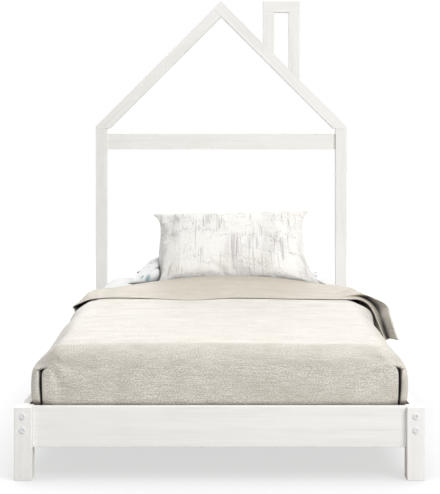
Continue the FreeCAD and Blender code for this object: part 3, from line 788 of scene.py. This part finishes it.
def corner_ring(k, side, foot, z, pleat, seat):
    """The plan of a foot corner k steps down: a soft corner that turns into an upright roll
    beside a narrow pleat.  Returns 2k + 1 points from the side to the foot."""
    if k == 0:
        return [(0.0, 0.0)]
    mouth_open = ease((0.288 - z) / 0.014)
    deep = pleat * mouth_open * (1 - 0.35 * ease((0.20 - z) / 0.03))
    square = ease((0.300 - z) / 0.035) * (1 - 0.9 * ease((0.205 - z) / 0.022))
    power = blended(2.0, 5.0, square)
    mouth = blended(0.0078, 0.0032, ease((0.283 - z) / 0.022))
    sway = 0.0030 * sin((0.285 - z) * 42)
    line, lengths = [], [0.0]
    for j in range(601):
        a = j / 600 * pi / 2
        p, q = side * cos(a) ** (2 / power), foot * sin(a) ** (2 / power)
        notch = exp(-(abs(p - seat) / mouth) ** 3.4) * ease((q - 0.008) / 0.012)
        q += 0.0030 * square * exp(-((p - seat - 0.0140) / 0.008) ** 2)
        line.append((p + sway * square * exp(-((p - seat - 0.011) / 0.012) ** 2),
                     q - deep * notch))
        if j:
            (p0, q0), (p1, q1) = line[-2:]
            dense = 1 + 2.5 * exp(-((p - seat) / 0.008) ** 2) * mouth_open
            lengths.append(lengths[-1] + dense * sqrt((p1 - p0) ** 2 + (q1 - q0) ** 2))
    points, j = [], 0
    for n in range(2 * k + 1):
        target = lengths[-1] * n / (2 * k)
        while j < len(lengths) - 2 and lengths[j + 1] < target:
            j += 1
        span = lengths[j + 1] - lengths[j]
        t = 0 if span < 1e-9 else min(1.0, (target - lengths[j]) / span)
        points.append((blended(line[j][0], line[j + 1][0], t),
                       blended(line[j][1], line[j + 1][1], t)))
    return points


def make_bedspread(shape, finish):
    """One sheet of linen: tucked in round the foot, pleated at the corners, turned down at the
    head end in a band whose ends hang at the sides."""
    low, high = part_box("bedspread")
    low_drop = SPREAD_TOP - low.z - 0.001
    foot_y, fold_y, hem_y = low.y + 0.0008, high.y - 0.0015, shape.hem_line
    flat_y = foot_y + FOOT_IN
    under = shape.cloth + 0.0004        # from the middle of one layer to the next

    columns = [(-1, k) for k in range(STEPS_DOWN, 0, -1)]
    columns += [(0, j / TOP_STEPS * 2 - 1) for j in range(TOP_STEPS + 1)]
    columns += [(1, k) for k in range(1, STEPS_DOWN + 1)]

    def hollow(x, y):
        """Soft ripples and dips across the made bed."""
        lie = ease((FLAT_X + 0.03 - abs(x)) / 0.10)
        waves = ripple(x * 1.5 + 4, y * 7.5) + 0.7 * ripple(x * 2.6, y * 19 + 9)
        slow = ripple(x * 1.8 + 20, y * 2.2) * 1.1
        toward_band = exp(-((y - hem_y + 0.14) / 0.16) ** 2)
        return shape.ripple * lie * (waves * (0.8 + 1.2 * toward_band) + slow)

    def band_height(x, t):
        """Height of the turned-down band, t from its hem to the fold."""
        w = 1 - (1 - t) ** 1.5
        sway = 0.0030 * ripple(x * 5 + 2, t * 2.2) * sin(pi * t)
        return SPREAD_TOP + blended(trace(HEM_LINE, x), trace(FOLD_LINE, x), w) + sway

    def band_share(y):
        return min(1.0, max(0.0, (y - hem_y) / (fold_y - hem_y)))

    def body_point(column, y):
        """The cloth lying on the mattress; beside the band its shoulders are fuller."""
        side, k = column
        lifted = ease((y - 0.10) / 0.30)
        if side == 0:
            x = k * FLAT_X
            z = SPREAD_TOP + CROWN * (1 - k * k) + hollow(x, y)
            band = band_height(x, band_share(y)) - under
            before_hem = max(0.0, hem_y - y)
            z = max(min(z, band + 0.14 * before_hem), band - 0.0006 - 0.10 * before_hem)
            return Vector((x, y, blended(z, band, lifted)))
        full = exp(-((y + 0.08) / 0.14) ** 2) * (1.0 if side > 0 else 0.45)
        hem_drop = blended(low_drop, 0.212, lifted)
        out, down = spread_profile(k, SIDE_IN + 0.013 * full, SIDE_DOWN - 0.040 * full, hem_drop)
        t = max(0.0, (k - SHOULDER_STEPS) / DROP_STEPS)
        out -= 0.014 * full * ease(t / 0.5)
        out += 0.0016 * ripple(y * 5 + side * 11, t * 2) * ease(k / 6) * (1 - 0.6 * t)
        edge = blended(0.0, trace(FOLD_LINE, side * FLAT_X) - under, lifted)
        return Vector((side * (FLAT_X + out), y, SPREAD_TOP - down + edge * (1 - ease(k / 16))))

    def draped(side, k, off, share):
        """The band's end lying over the mattress's shoulder, a little off the body's cloth."""
        rise = band_height(side * FLAT_X, share) - SPREAD_TOP
        if k <= SHOULDER_STEPS:
            a = k / SHOULDER_STEPS * pi / 2
            return (FLAT_X + (SIDE_IN + off) * sin(a),
                    SPREAD_TOP + rise * cos(a) + off * sin(2 * a) * 0.5 - SIDE_DOWN * (1 - cos(a)))
        u = (k - SHOULDER_STEPS) / DROP_STEPS
        return (FLAT_X + SIDE_IN + off + 0.0012 * u, blended(SPREAD_TOP - SIDE_DOWN, FLAP_FOOT, u))

    def band_point(column, t):
        """The turned-down band, t from its hem to the fold."""
        side, k = column
        y = blended(hem_y, fold_y, t)
        if side == 0:
            x = k * FLAT_X
            return Vector((x, y + 0.004 * ripple(x * 2.5, 7.0) * (1 - t), band_height(x, t)))
        s = k / STEPS_DOWN
        if side < 0:
            hem = trace(LEFT_HEM, s)
            x, z = draped(side, k, 0.0055, t)
            w = ease(t / 0.9)
            puff = 0.014 * sin(pi * min(1.0, t * 1.15)) * exp(-((s - 0.16) / 0.13) ** 2)
            x = blended(hem.x, x, w) + 0.5 * puff
            z = blended(hem.y, z, w) + puff
            return Vector((-x, y - 0.008 * ease(s * 1.2) * (1 - t) ** 2, z))
        lines = [trace(RIGHT_HEM, s), trace(RIGHT_VALLEY, s), trace(RIGHT_CREST, s)]
        slid = ease(s * 1.3)
        x, z = draped(side, k, 0.012, 0.45)
        puff = 0.021 * exp(-((s - 0.17) / 0.10) ** 2)
        lines.append(Vector((x + 0.3 * puff, blended(hem_y, fold_y, 0.45) - 0.12 * slid,
                             z + puff + 0.012 * slid * (1 - 0.3 * s))))
        x, z = draped(side, k, 0.0055, 1.0)
        lines.append(Vector((x, fold_y, z)))
        return trace(list(zip((0.0, 0.11, 0.22, 0.52, 1.0), lines)), t)

    # the foot drop with its corners, then the top, the fold and the band
    rings = []
    for k in range(STEPS_DOWN + 1):
        out, down = spread_profile(k, SIDE_IN, SIDE_DOWN, low_drop)
        foot_out, foot_down = spread_profile(k, FOOT_IN, FOOT_DOWN, low_drop)
        z = SPREAD_TOP - (down + foot_down) / 2
        lines = {side: corner_ring(k, out, foot_out, z, shape.pleat, seat)
                 for side, seat in PLEAT_SEATS.items()}
        rings.append((down, foot_down, lines))

    def creased(x, z):
        """Soft folds that run from each foot corner across the drop."""
        across, below = 0.445 - abs(x), 0.295 - z
        reach = sqrt(across ** 2 + below ** 2) + 1e-6
        fan = sin(asin(min(1.0, max(-1.0, below / reach))) * 6.5 + (0.8 if x < 0 else 2.4))
        return 0.0032 * fan * exp(-(reach / 0.11) ** 2) * ease((reach - 0.012) / 0.03)

    rows = []
    for j in range(STEPS_DOWN, 0, -1):
        row = []
        out, down = spread_profile(j, FOOT_IN, FOOT_DOWN, low_drop)
        t = max(0.0, (j - SHOULDER_STEPS) / DROP_STEPS)
        for side, k in columns:
            if side == 0:
                x = k * FLAT_X
                z = SPREAD_TOP - down
                sway = ripple(x * 4 + 3, t * 1.5) + 0.5 * ripple(x * 11, t * 2.5 + 5)
                sway = 0.0013 * sway * ease(j / 9) * (1 - 0.7 * t)
                y = flat_y - out + sway + creased(x, z) * (1 - ease((t - 0.5) / 0.4))
                z += (CROWN * (1 - k * k) + hollow(x, y)) * (1 - ease(down / 0.05))
                row.append(Vector((x, y, z)))
            else:
                ring = max(j, k)
                n = j if k >= j else 2 * ring - k
                side_down, foot_down, lines = rings[ring]
                p, q = lines[side][n]
                z = SPREAD_TOP - blended(side_down, foot_down, n / (2 * ring))
                y = flat_y - q
                if q > 0.030:
                    y += creased(FLAT_X + p, z) * (1 - ease((p - 0.015) / 0.02))
                row.append(Vector((side * (FLAT_X + p), y, z)))
        rows.append(([slumped(point) for point in row],
                     [(c_x, -j * CLOTH_STEP) for c_x in map(cloth_across, columns)]))
    body_last = fold_y - 0.004
    for j in range(LENGTH_STEPS + 1):
        y = blended(flat_y, body_last, j / LENGTH_STEPS)
        rows.append(([slumped(body_point(c, y)) for c in columns],
                     [(c_x, y - flat_y) for c_x in map(cloth_across, columns)]))
    run = body_last - flat_y
    last_share = band_share(body_last)
    body_end = rows[-1][0]
    band_end = [band_point(c, last_share) for c in columns]
    for j in range(1, FOLD_STEPS):
        a = -pi / 2 + pi * j / FOLD_STEPS
        row = [(below + above) / 2 + (above - below) / 2 * sin(a) + Vector((0, 0.004 * cos(a), 0))
               for below, above in zip(body_end, band_end)]
        rows.append((row, [(c_x, run + j * 0.002) for c_x in map(cloth_across, columns)]))
    along = [run + FOLD_STEPS * 0.002] * len(columns)
    before = band_end
    for j in range(BAND_STEPS + 1):
        t = last_share * (1 - j / BAND_STEPS) ** 1.25
        row = [band_point(c, t) for c in columns]
        along = [a + (now - was).length for a, now, was in zip(along, row, before)]
        before = row
        rows.append((row, list(zip(map(cloth_across, columns), along))))

    points = [point for row, _ in rows for point in row]
    flat = [place for _, row in rows for place in row]
    half_span = FLAT_X + STEPS_DOWN * CLOTH_STEP
    to_hems = [(half_span - abs(x), last - y) for _, row in rows
               for (x, y), last in zip(row, along)]
    faces = grid_faces(len(columns), len(rows))

    face_linen = linen("spread_face", finish.face, finish.face_dark, finish, FACE_SHADE_REACH)
    back_linen = linen("spread_reverse", finish.reverse, finish.reverse_dark, finish, REVERSE_SHADE_REACH)
    spread = mesh_object("linen_bedspread", points, faces, [face_linen, back_linen],
                         "bedspread_body")
    for name, values in (("cloth", flat), ("hems", to_hems)):
        layer = spread.data.uv_layers.new(name=name)
        for loop in spread.data.loops:
            layer.data[loop.index].uv = values[loop.vertex_index]
    body = spread.modifiers.new("cloth", "SOLIDIFY")
    body.thickness, body.offset, body.material_offset = shape.cloth, 0.0, 1
    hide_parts("bedspread")


def cloth_across(column):
    """How far a column is from the middle of the flat cloth."""
    side, k = column
    return k * FLAT_X if side == 0 else side * (FLAT_X + k * CLOTH_STEP)


# ---- pillows ----

def pillow_mesh(width, height, step, crown, back, end_draw, side_draw):
    """Two cases of cloth sewn round their edge, lying flat: points, faces and where each point
    is on the case."""
    nx, ny = int(width / step), int(height / step)
    points, places, index = [], [], {}
    for layer in (1, -1):
        for i in range(nx + 1):
            for j in range(ny + 1):
                border = i in (0, nx) or j in (0, ny)
                if border and layer < 0:
                    index[layer, i, j] = index[1, i, j]
                    continue
                u, v = i / nx * 2 - 1, j / ny * 2 - 1
                full = (1 - abs(u) ** 4.5) * (1 - v * v) ** (0.85 if v > 0 else 0.5)
                index[layer, i, j] = len(points)
                points.append((u * (width / 2 - end_draw * (1 - abs(v) ** 4.5)),
                               v * (height / 2 - side_draw * (1 - abs(u) ** 4.0)),
                               crown * full if layer > 0 else -back * full))
                places.append((u * width / 2, v * height / 2))
    faces = []
    for layer in (1, -1):
        for i in range(nx):
            for j in range(ny):
                quad = [index[layer, i, j], index[layer, i + 1, j],
                        index[layer, i + 1, j + 1], index[layer, i, j + 1]]
                faces.append(quad if layer > 0 else quad[::-1])
    return points, faces, places


def fill_case(piece, shape, slack, keep, most):
    """Fill the case: cloth a little larger than its shape wrinkles under the filling's
    pressure.  Most of the even swelling is taken out again, so the pillow keeps its shape."""
    mesh = piece.data
    before = [v.co.copy() for v in mesh.vertices]
    bpy.context.view_layer.objects.active = piece
    cloth = piece.modifiers.new("filling", "CLOTH")
    settings = cloth.settings
    settings.quality, settings.mass = 7, 0.2
    settings.tension_stiffness = settings.compression_stiffness = 40
    settings.shear_stiffness, settings.bending_stiffness = 12, 0.12
    settings.shrink_min = -slack
    settings.use_pressure = True
    settings.uniform_pressure_force = shape.pressure
    settings.effector_weights.gravity = 0.0
    cloth.collision_settings.use_collision = False
    cloth.collision_settings.use_self_collision = False
    cloth.point_cache.frame_start, cloth.point_cache.frame_end = 1, shape.frames
    scene = bpy.context.scene
    for frame_number in range(1, shape.frames + 1):
        scene.frame_set(frame_number)
    evaluated = piece.evaluated_get(bpy.context.evaluated_depsgraph_get())
    moves = [v.co - was for v, was in zip(evaluated.data.vertices, before)]
    piece.modifiers.remove(cloth)
    scene.frame_set(1)

    beside = [[] for _ in mesh.vertices]
    for edge in mesh.edges:
        a, b = edge.vertices
        beside[a].append(b)
        beside[b].append(a)
    even = moves
    for _ in range(24):
        even = [(even[k] + sum((even[n] for n in near), Vector())) / (len(near) + 1)
                for k, near in enumerate(beside)]
    for vertex, was, move, swell in zip(mesh.vertices, before, moves, even):
        left = move - swell * (1 - keep)
        vertex.co = was + left * (most / (most + left.length))
    mesh.update()


def finish_case(piece, places, replaced):
    """Map the cloth of a case in its place and round it off."""
    mesh = piece.data
    mesh.update()
    layer = mesh.uv_layers.new(name="cloth")
    for loop in mesh.loops:
        layer.data[loop.index].uv = places[loop.vertex_index]
    round_off = piece.modifiers.new("smooth", "SUBSURF")
    round_off.levels = round_off.render_levels = 1
    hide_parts(replaced)


def make_front_pillow(shape):
    """The front pillow leans back on the rear one, on its lower seam."""
    width, height = 0.636, 0.464
    points, faces, places = pillow_mesh(width, height, shape.step, 0.076, 0.028, 0.025, 0.009)
    case = mesh_object("front_pillowcase", points, faces, [streaked_cotton(shape)],
                       "front_pillow_body")
    fill_case(case, shape, 0.035, 0.10, 0.030)
    lean = Matrix.Rotation(radians(35), 4, "X")
    low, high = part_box("front_pillow")
    seam = Vector((0.0, -height / 2, 0.0))
    foot = Vector(((low.x + high.x) / 2 - 0.009, low.y + 0.0010, low.z + 0.0045))
    placement = Matrix.Translation(foot) @ lean @ Matrix.Translation(-seam)
    for vertex, (px, py) in zip(case.data.vertices, places):
        u, v = px * 2 / width, py * 2 / height
        tucked = ease((-u - 0.55) / 0.45) * ease((-v - 0.25) / 0.75)
        flared = ease((u - 0.62) / 0.38) * ease((-v - 0.10) / 0.90)
        vertex.co.x += 0.026 * tucked + 0.024 * flared
        if vertex.co.z > -0.001:
            vertex.co.z += front_creases(u, v)
        vertex.co = placement @ vertex.co
        vertex.co.z += 0.007 * u * ease((v + 1) / 1.6)
        vertex.co.z = max(vertex.co.z, low.z + 0.0015)
    finish_case(case, places, "front_pillow")


def front_creases(u, v):
    """Creases of the front pillow: a fan from its upper left corner, a long one at the lower
    right and faint ones below the upper seam."""
    inside = (1 - u ** 6) * (1 - v ** 6)
    across, below = u + 1.02, 1.02 - v
    reach = sqrt(across ** 2 + below ** 2)
    fan = sin(asin(min(1.0, below / (reach + 1e-6))) * 11 + 0.6) * exp(-(reach / 0.42) ** 2)
    slant = (u - 0.66) * 0.75 + (v + 0.35) * 0.66
    along = (u - 0.66) * 0.66 - (v + 0.35) * 0.75
    valley = -exp(-(slant / 0.055) ** 2) * exp(-(along / 0.42) ** 2)
    ridge = 0.6 * exp(-((slant - 0.11) / 0.07) ** 2) * exp(-(along / 0.42) ** 2)
    faint = 0.3 * sin(v * 34 + 1.4 * ripple(u * 2.2, v)) * exp(-((v - 0.62) / 0.2) ** 2)
    faint *= 0.4 + ripple(u * 1.8 + 3, v * 2 + 7)
    return 0.0065 * inside * (0.8 * fan + valley + ridge + faint)


def make_rear_pillow(shape):
    """The rear pillow lies flat and gives way under the front one."""
    width, height = 0.752, 0.455
    points, faces, places = pillow_mesh(width, height, shape.step, 0.104, 0.010, 0.012, 0.008)
    case = mesh_object("rear_pillowcase", points, faces, [flecked_cotton(shape)],
                       "rear_pillow_body")
    fill_case(case, shape, 0.025, 0.10, 0.022)
    low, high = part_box("rear_pillow")
    shift = Vector((high.x - width / 2 - 0.003, high.y - height / 2, low.z + 0.0145))
    front = bpy.data.objects["front_pillowcase"]
    surface = BVHTree.FromObject(front, bpy.context.evaluated_depsgraph_get())
    turn = front.matrix_world.inverted()
    for vertex in case.data.vertices:
        point = vertex.co + shift
        start = Vector((point.x, point.y, low.z - 0.1))
        hit = surface.ray_cast(turn @ start, turn.to_3x3() @ Vector((0, 0, 1)))[0]
        if hit is not None:
            ceiling = (front.matrix_world @ hit).z - 0.0035
            if point.z > ceiling - 0.006:
                over = point.z - ceiling + 0.006
                point.z = ceiling - 0.006 + 0.006 * (1 - exp(-over / 0.006))
        point.z = max(point.z, low.z + 0.0015)
        vertex.co = point
    finish_case(case, places, "rear_pillow")


# ---- operators ----

class FinishTimber(bpy.types.Operator):
    """Whitewash the posts, rails, rafters and chimney"""
    bl_idname = "house_bed.finish_timber"
    bl_label = "Whitewash the frame"

    def execute(self, context):
        finish = context.scene.bed_timber
        upright = ["footboard_post_left", "footboard_post_right", "headboard_post_left",
                   "headboard_post_right", "chimney_post_inner", "chimney_post_outer"]
        across = ["footboard_rail", "headboard_crossbar", "headboard_lower_rail", "chimney_cap"]
        dress(upright, whitewashed("upright", finish))
        dress(across, whitewashed("across", finish))
        dress(["side_rail_left", "side_rail_right"], whitewashed("lengthways", finish))
        dress(["roof_rafter_left"], whitewashed("left_slope", finish))
        dress(["roof_rafter_right"], whitewashed("right_slope", finish))
        return {"FINISHED"}


class FinishSlats(bpy.types.Operator):
    """Give the slats and their cleats bare softwood"""
    bl_idname = "house_bed.finish_slats"
    bl_label = "Finish the slats"

    def execute(self, context):
        finish = context.scene.bed_timber
        slats = [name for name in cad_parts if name.startswith(("slat_0", "slat_1"))]
        dress(slats, bare_timber("slat_softwood", finish.slat, finish.slat_grain, "across", 150.0))
        dress(["slat_cleat_left", "slat_cleat_right"],
              bare_timber("cleat_softwood", finish.slat, finish.slat_grain, "lengthways", 150.0))
        return {"FINISHED"}


class FinishFastenings(bpy.types.Operator):
    """Finish the bolts, nuts, screws and dowels"""
    bl_idname = "house_bed.finish_fastenings"
    bl_label = "Finish the fastenings"

    def execute(self, context):
        finish = context.scene.bed_timber
        dress(["footboard_bolts", "headboard_bolts"],
              metal("painted_bolts", paint(236, 237, 238), paint(178, 181, 186), 0.0, 0.34))
        dress(["barrel_nuts", "cleat_screws", "slat_screws"],
              metal("zinc_plate", paint(200, 202, 204), paint(150, 152, 156), 1.0, 0.34))
        hardwood = bare_timber("dowel_hardwood", finish.dowel,
                               tuple(c * 0.72 for c in finish.dowel), "across", 420.0)
        dress([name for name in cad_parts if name.endswith("_dowels")], hardwood)
        return {"FINISHED"}


class MakeMattress(bpy.types.Operator):
    """Make the mattress"""
    bl_idname = "house_bed.make_mattress"
    bl_label = "Make the mattress"

    def execute(self, context):
        make_mattress()
        return {"FINISHED"}


class MakeBedspread(bpy.types.Operator):
    """Make the bedspread with its turned-down band"""
    bl_idname = "house_bed.make_bedspread"
    bl_label = "Make the bedspread"

    def execute(self, context):
        make_bedspread(context.scene.bed_spread, context.scene.bed_linen)
        return {"FINISHED"}


class MakePillows(bpy.types.Operator):
    """Make the front and rear pillows"""
    bl_idname = "house_bed.make_pillows"
    bl_label = "Make the pillows"

    def execute(self, context):
        make_front_pillow(context.scene.bed_pillows)
        make_rear_pillow(context.scene.bed_pillows)
        return {"FINISHED"}


def hang_lamp(name, kind, strength, place, aim, **settings):
    """Hang a lamp at a place and point it at another."""
    lamp = bpy.data.lights.new(name, kind)
    lamp.energy = strength
    for setting, value in settings.items():
        setattr(lamp, setting, value)
    carrier = bpy.data.objects.new(name, lamp)
    carrier.location = place
    carrier.rotation_euler = (Vector(aim) - Vector(place)).to_track_quat("-Z", "Y").to_euler()
    bpy.context.scene.collection.objects.link(carrier)


def split_by_ray(desk, lighting, shown, output):
    """One shader for the light a surface gives back and another for what the camera sees of it,
    straight or mirrored."""
    rays = desk.add("LightPath").outputs
    seen = desk.maths("MAXIMUM", rays["Is Camera Ray"],
                      desk.maths("MAXIMUM", rays["Is Glossy Ray"], rays["Is Transmission Ray"]))
    choose = desk.add("MixShader")
    for socket, value in zip(choose.inputs, (seen, lighting, shown)):
        desk.feed(socket, value)
    desk.fill(desk.add(output), Surface=choose)


class SetStage(bpy.types.Operator):
    """Lay the pale floor with its painted shadow, hang the lamps and set up the camera"""
    bl_idname = "house_bed.set_stage"
    bl_label = "Set the stage"

    def execute(self, context):
        light = context.scene.bed_light
        scene = context.scene

        mesh = bpy.data.meshes.new("floor")
        mesh.from_pydata([(-60, -60, 0), (60, -60, 0), (60, 60, 0), (-60, 60, 0)], [],
                         [(0, 1, 2, 3)])
        floor = bpy.data.objects.new("floor", mesh)
        scene.collection.objects.link(floor)
        material = bpy.data.materials.new("pale_floor")
        material.use_nodes = True
        tree = material.node_tree
        desk = NodeDesk(tree)
        tree.nodes.clear()
        lit = desk.add("BsdfDiffuse", {"Color": (0.12, 0.12, 0.12, 1.0)})
        # painted shadow: the floor's glow for the camera drops where ambient occlusion finds the
        # bed close by, a soft contact shadow around and under it
        open_sky = desk.add("AmbientOcclusion", {"Distance": 0.7}, samples=12).outputs["AO"]
        own = desk.add("Emission", {"Strength": desk.between(open_sky, 0.42, 0.97,
                                                             light.floor_painted_shadow_glow, 0.95)})
        both = desk.add("AddShader")
        desk.feed(both.inputs[0], lit)
        desk.feed(both.inputs[1], own)
        plain = desk.add("BsdfDiffuse", {"Color": (0.60, 0.60, 0.60, 1.0)})
        split_by_ray(desk, plain, both, "OutputMaterial")
        mesh.materials.append(material)

        world = bpy.data.worlds.new("sky")
        world.use_nodes = True
        scene.world = world
        tree = world.node_tree
        tree.nodes.clear()
        desk = NodeDesk(tree)
        white = desk.add("Background", {"Color": (1, 1, 1, 1), "Strength": 1.0})
        lighting = desk.add("Background", {"Color": (1, 1, 1, 1), "Strength": light.sky})
        split_by_ray(desk, lighting, white, "OutputWorld")

        hang_lamp("key_lamp", "AREA", light.key, (3.1, -4.3, 4.6), (0, 0, 0.6), size=2.4)
        hang_lamp("lamp_behind", "AREA", light.behind, (-0.2, 4.8, 2.5), (0, 0, 0.4), size=3.6)
        hang_lamp("lamp_above", "SUN", light.above, (0.3, 0.9, 3.0), (0, 0, 0), angle=radians(70))

        camera = bpy.data.cameras.new("camera")
        camera.lens, camera.sensor_width = 88.32, 36.0
        camera.shift_x, camera.shift_y = -0.0077, -0.1862
        camera.clip_start, camera.clip_end = 0.05, 300.0
        stand = bpy.data.objects.new("camera", camera)
        stand.location = (0.011, -4.0685, 0.824)
        stand.rotation_euler = (pi / 2, 0, 0)
        scene.collection.objects.link(stand)
        scene.camera = stand
        scene.view_settings.view_transform = "Standard"
        return {"FINISHED"}


class HouseBedPanel(bpy.types.Panel):
    """The bed's steps and settings"""
    bl_label = "House frame bed"
    bl_idname = "VIEW3D_PT_house_bed"
    bl_space_type = "VIEW_3D"
    bl_region_type = "UI"
    bl_category = "House Bed"

    def draw(self, context):
        layout, scene = self.layout, context.scene
        for operator in STEPS:
            layout.operator(operator.bl_idname)
        for name in SETTINGS:
            group = getattr(scene, name)
            box = layout.box()
            for setting in group.bl_rna.properties:
                if setting.identifier not in ("name", "rna_type"):
                    box.prop(group, setting.identifier)


STEPS = (FinishTimber, FinishSlats, FinishFastenings, MakeMattress, MakeBedspread, MakePillows,
         SetStage)
SETTINGS = {"bed_timber": TimberFinish, "bed_linen": LinenFinish, "bed_spread": BedspreadShape,
            "bed_pillows": PillowShape, "bed_light": StageLight}


def register():
    for group in SETTINGS.values():
        bpy.utils.register_class(group)
    for name, group in SETTINGS.items():
        setattr(bpy.types.Scene, name, PointerProperty(type=group))
    for step in (*STEPS, HouseBedPanel):
        bpy.utils.register_class(step)


def unregister():
    for step in (HouseBedPanel, *reversed(STEPS)):
        bpy.utils.unregister_class(step)
    for name, group in reversed(list(SETTINGS.items())):
        delattr(bpy.types.Scene, name)
        bpy.utils.unregister_class(group)


def main():
    register()
    for step in STEPS:
        group, name = step.bl_idname.split(".")
        getattr(getattr(bpy.ops, group), name)()


if __name__ == "__main__":
    main()
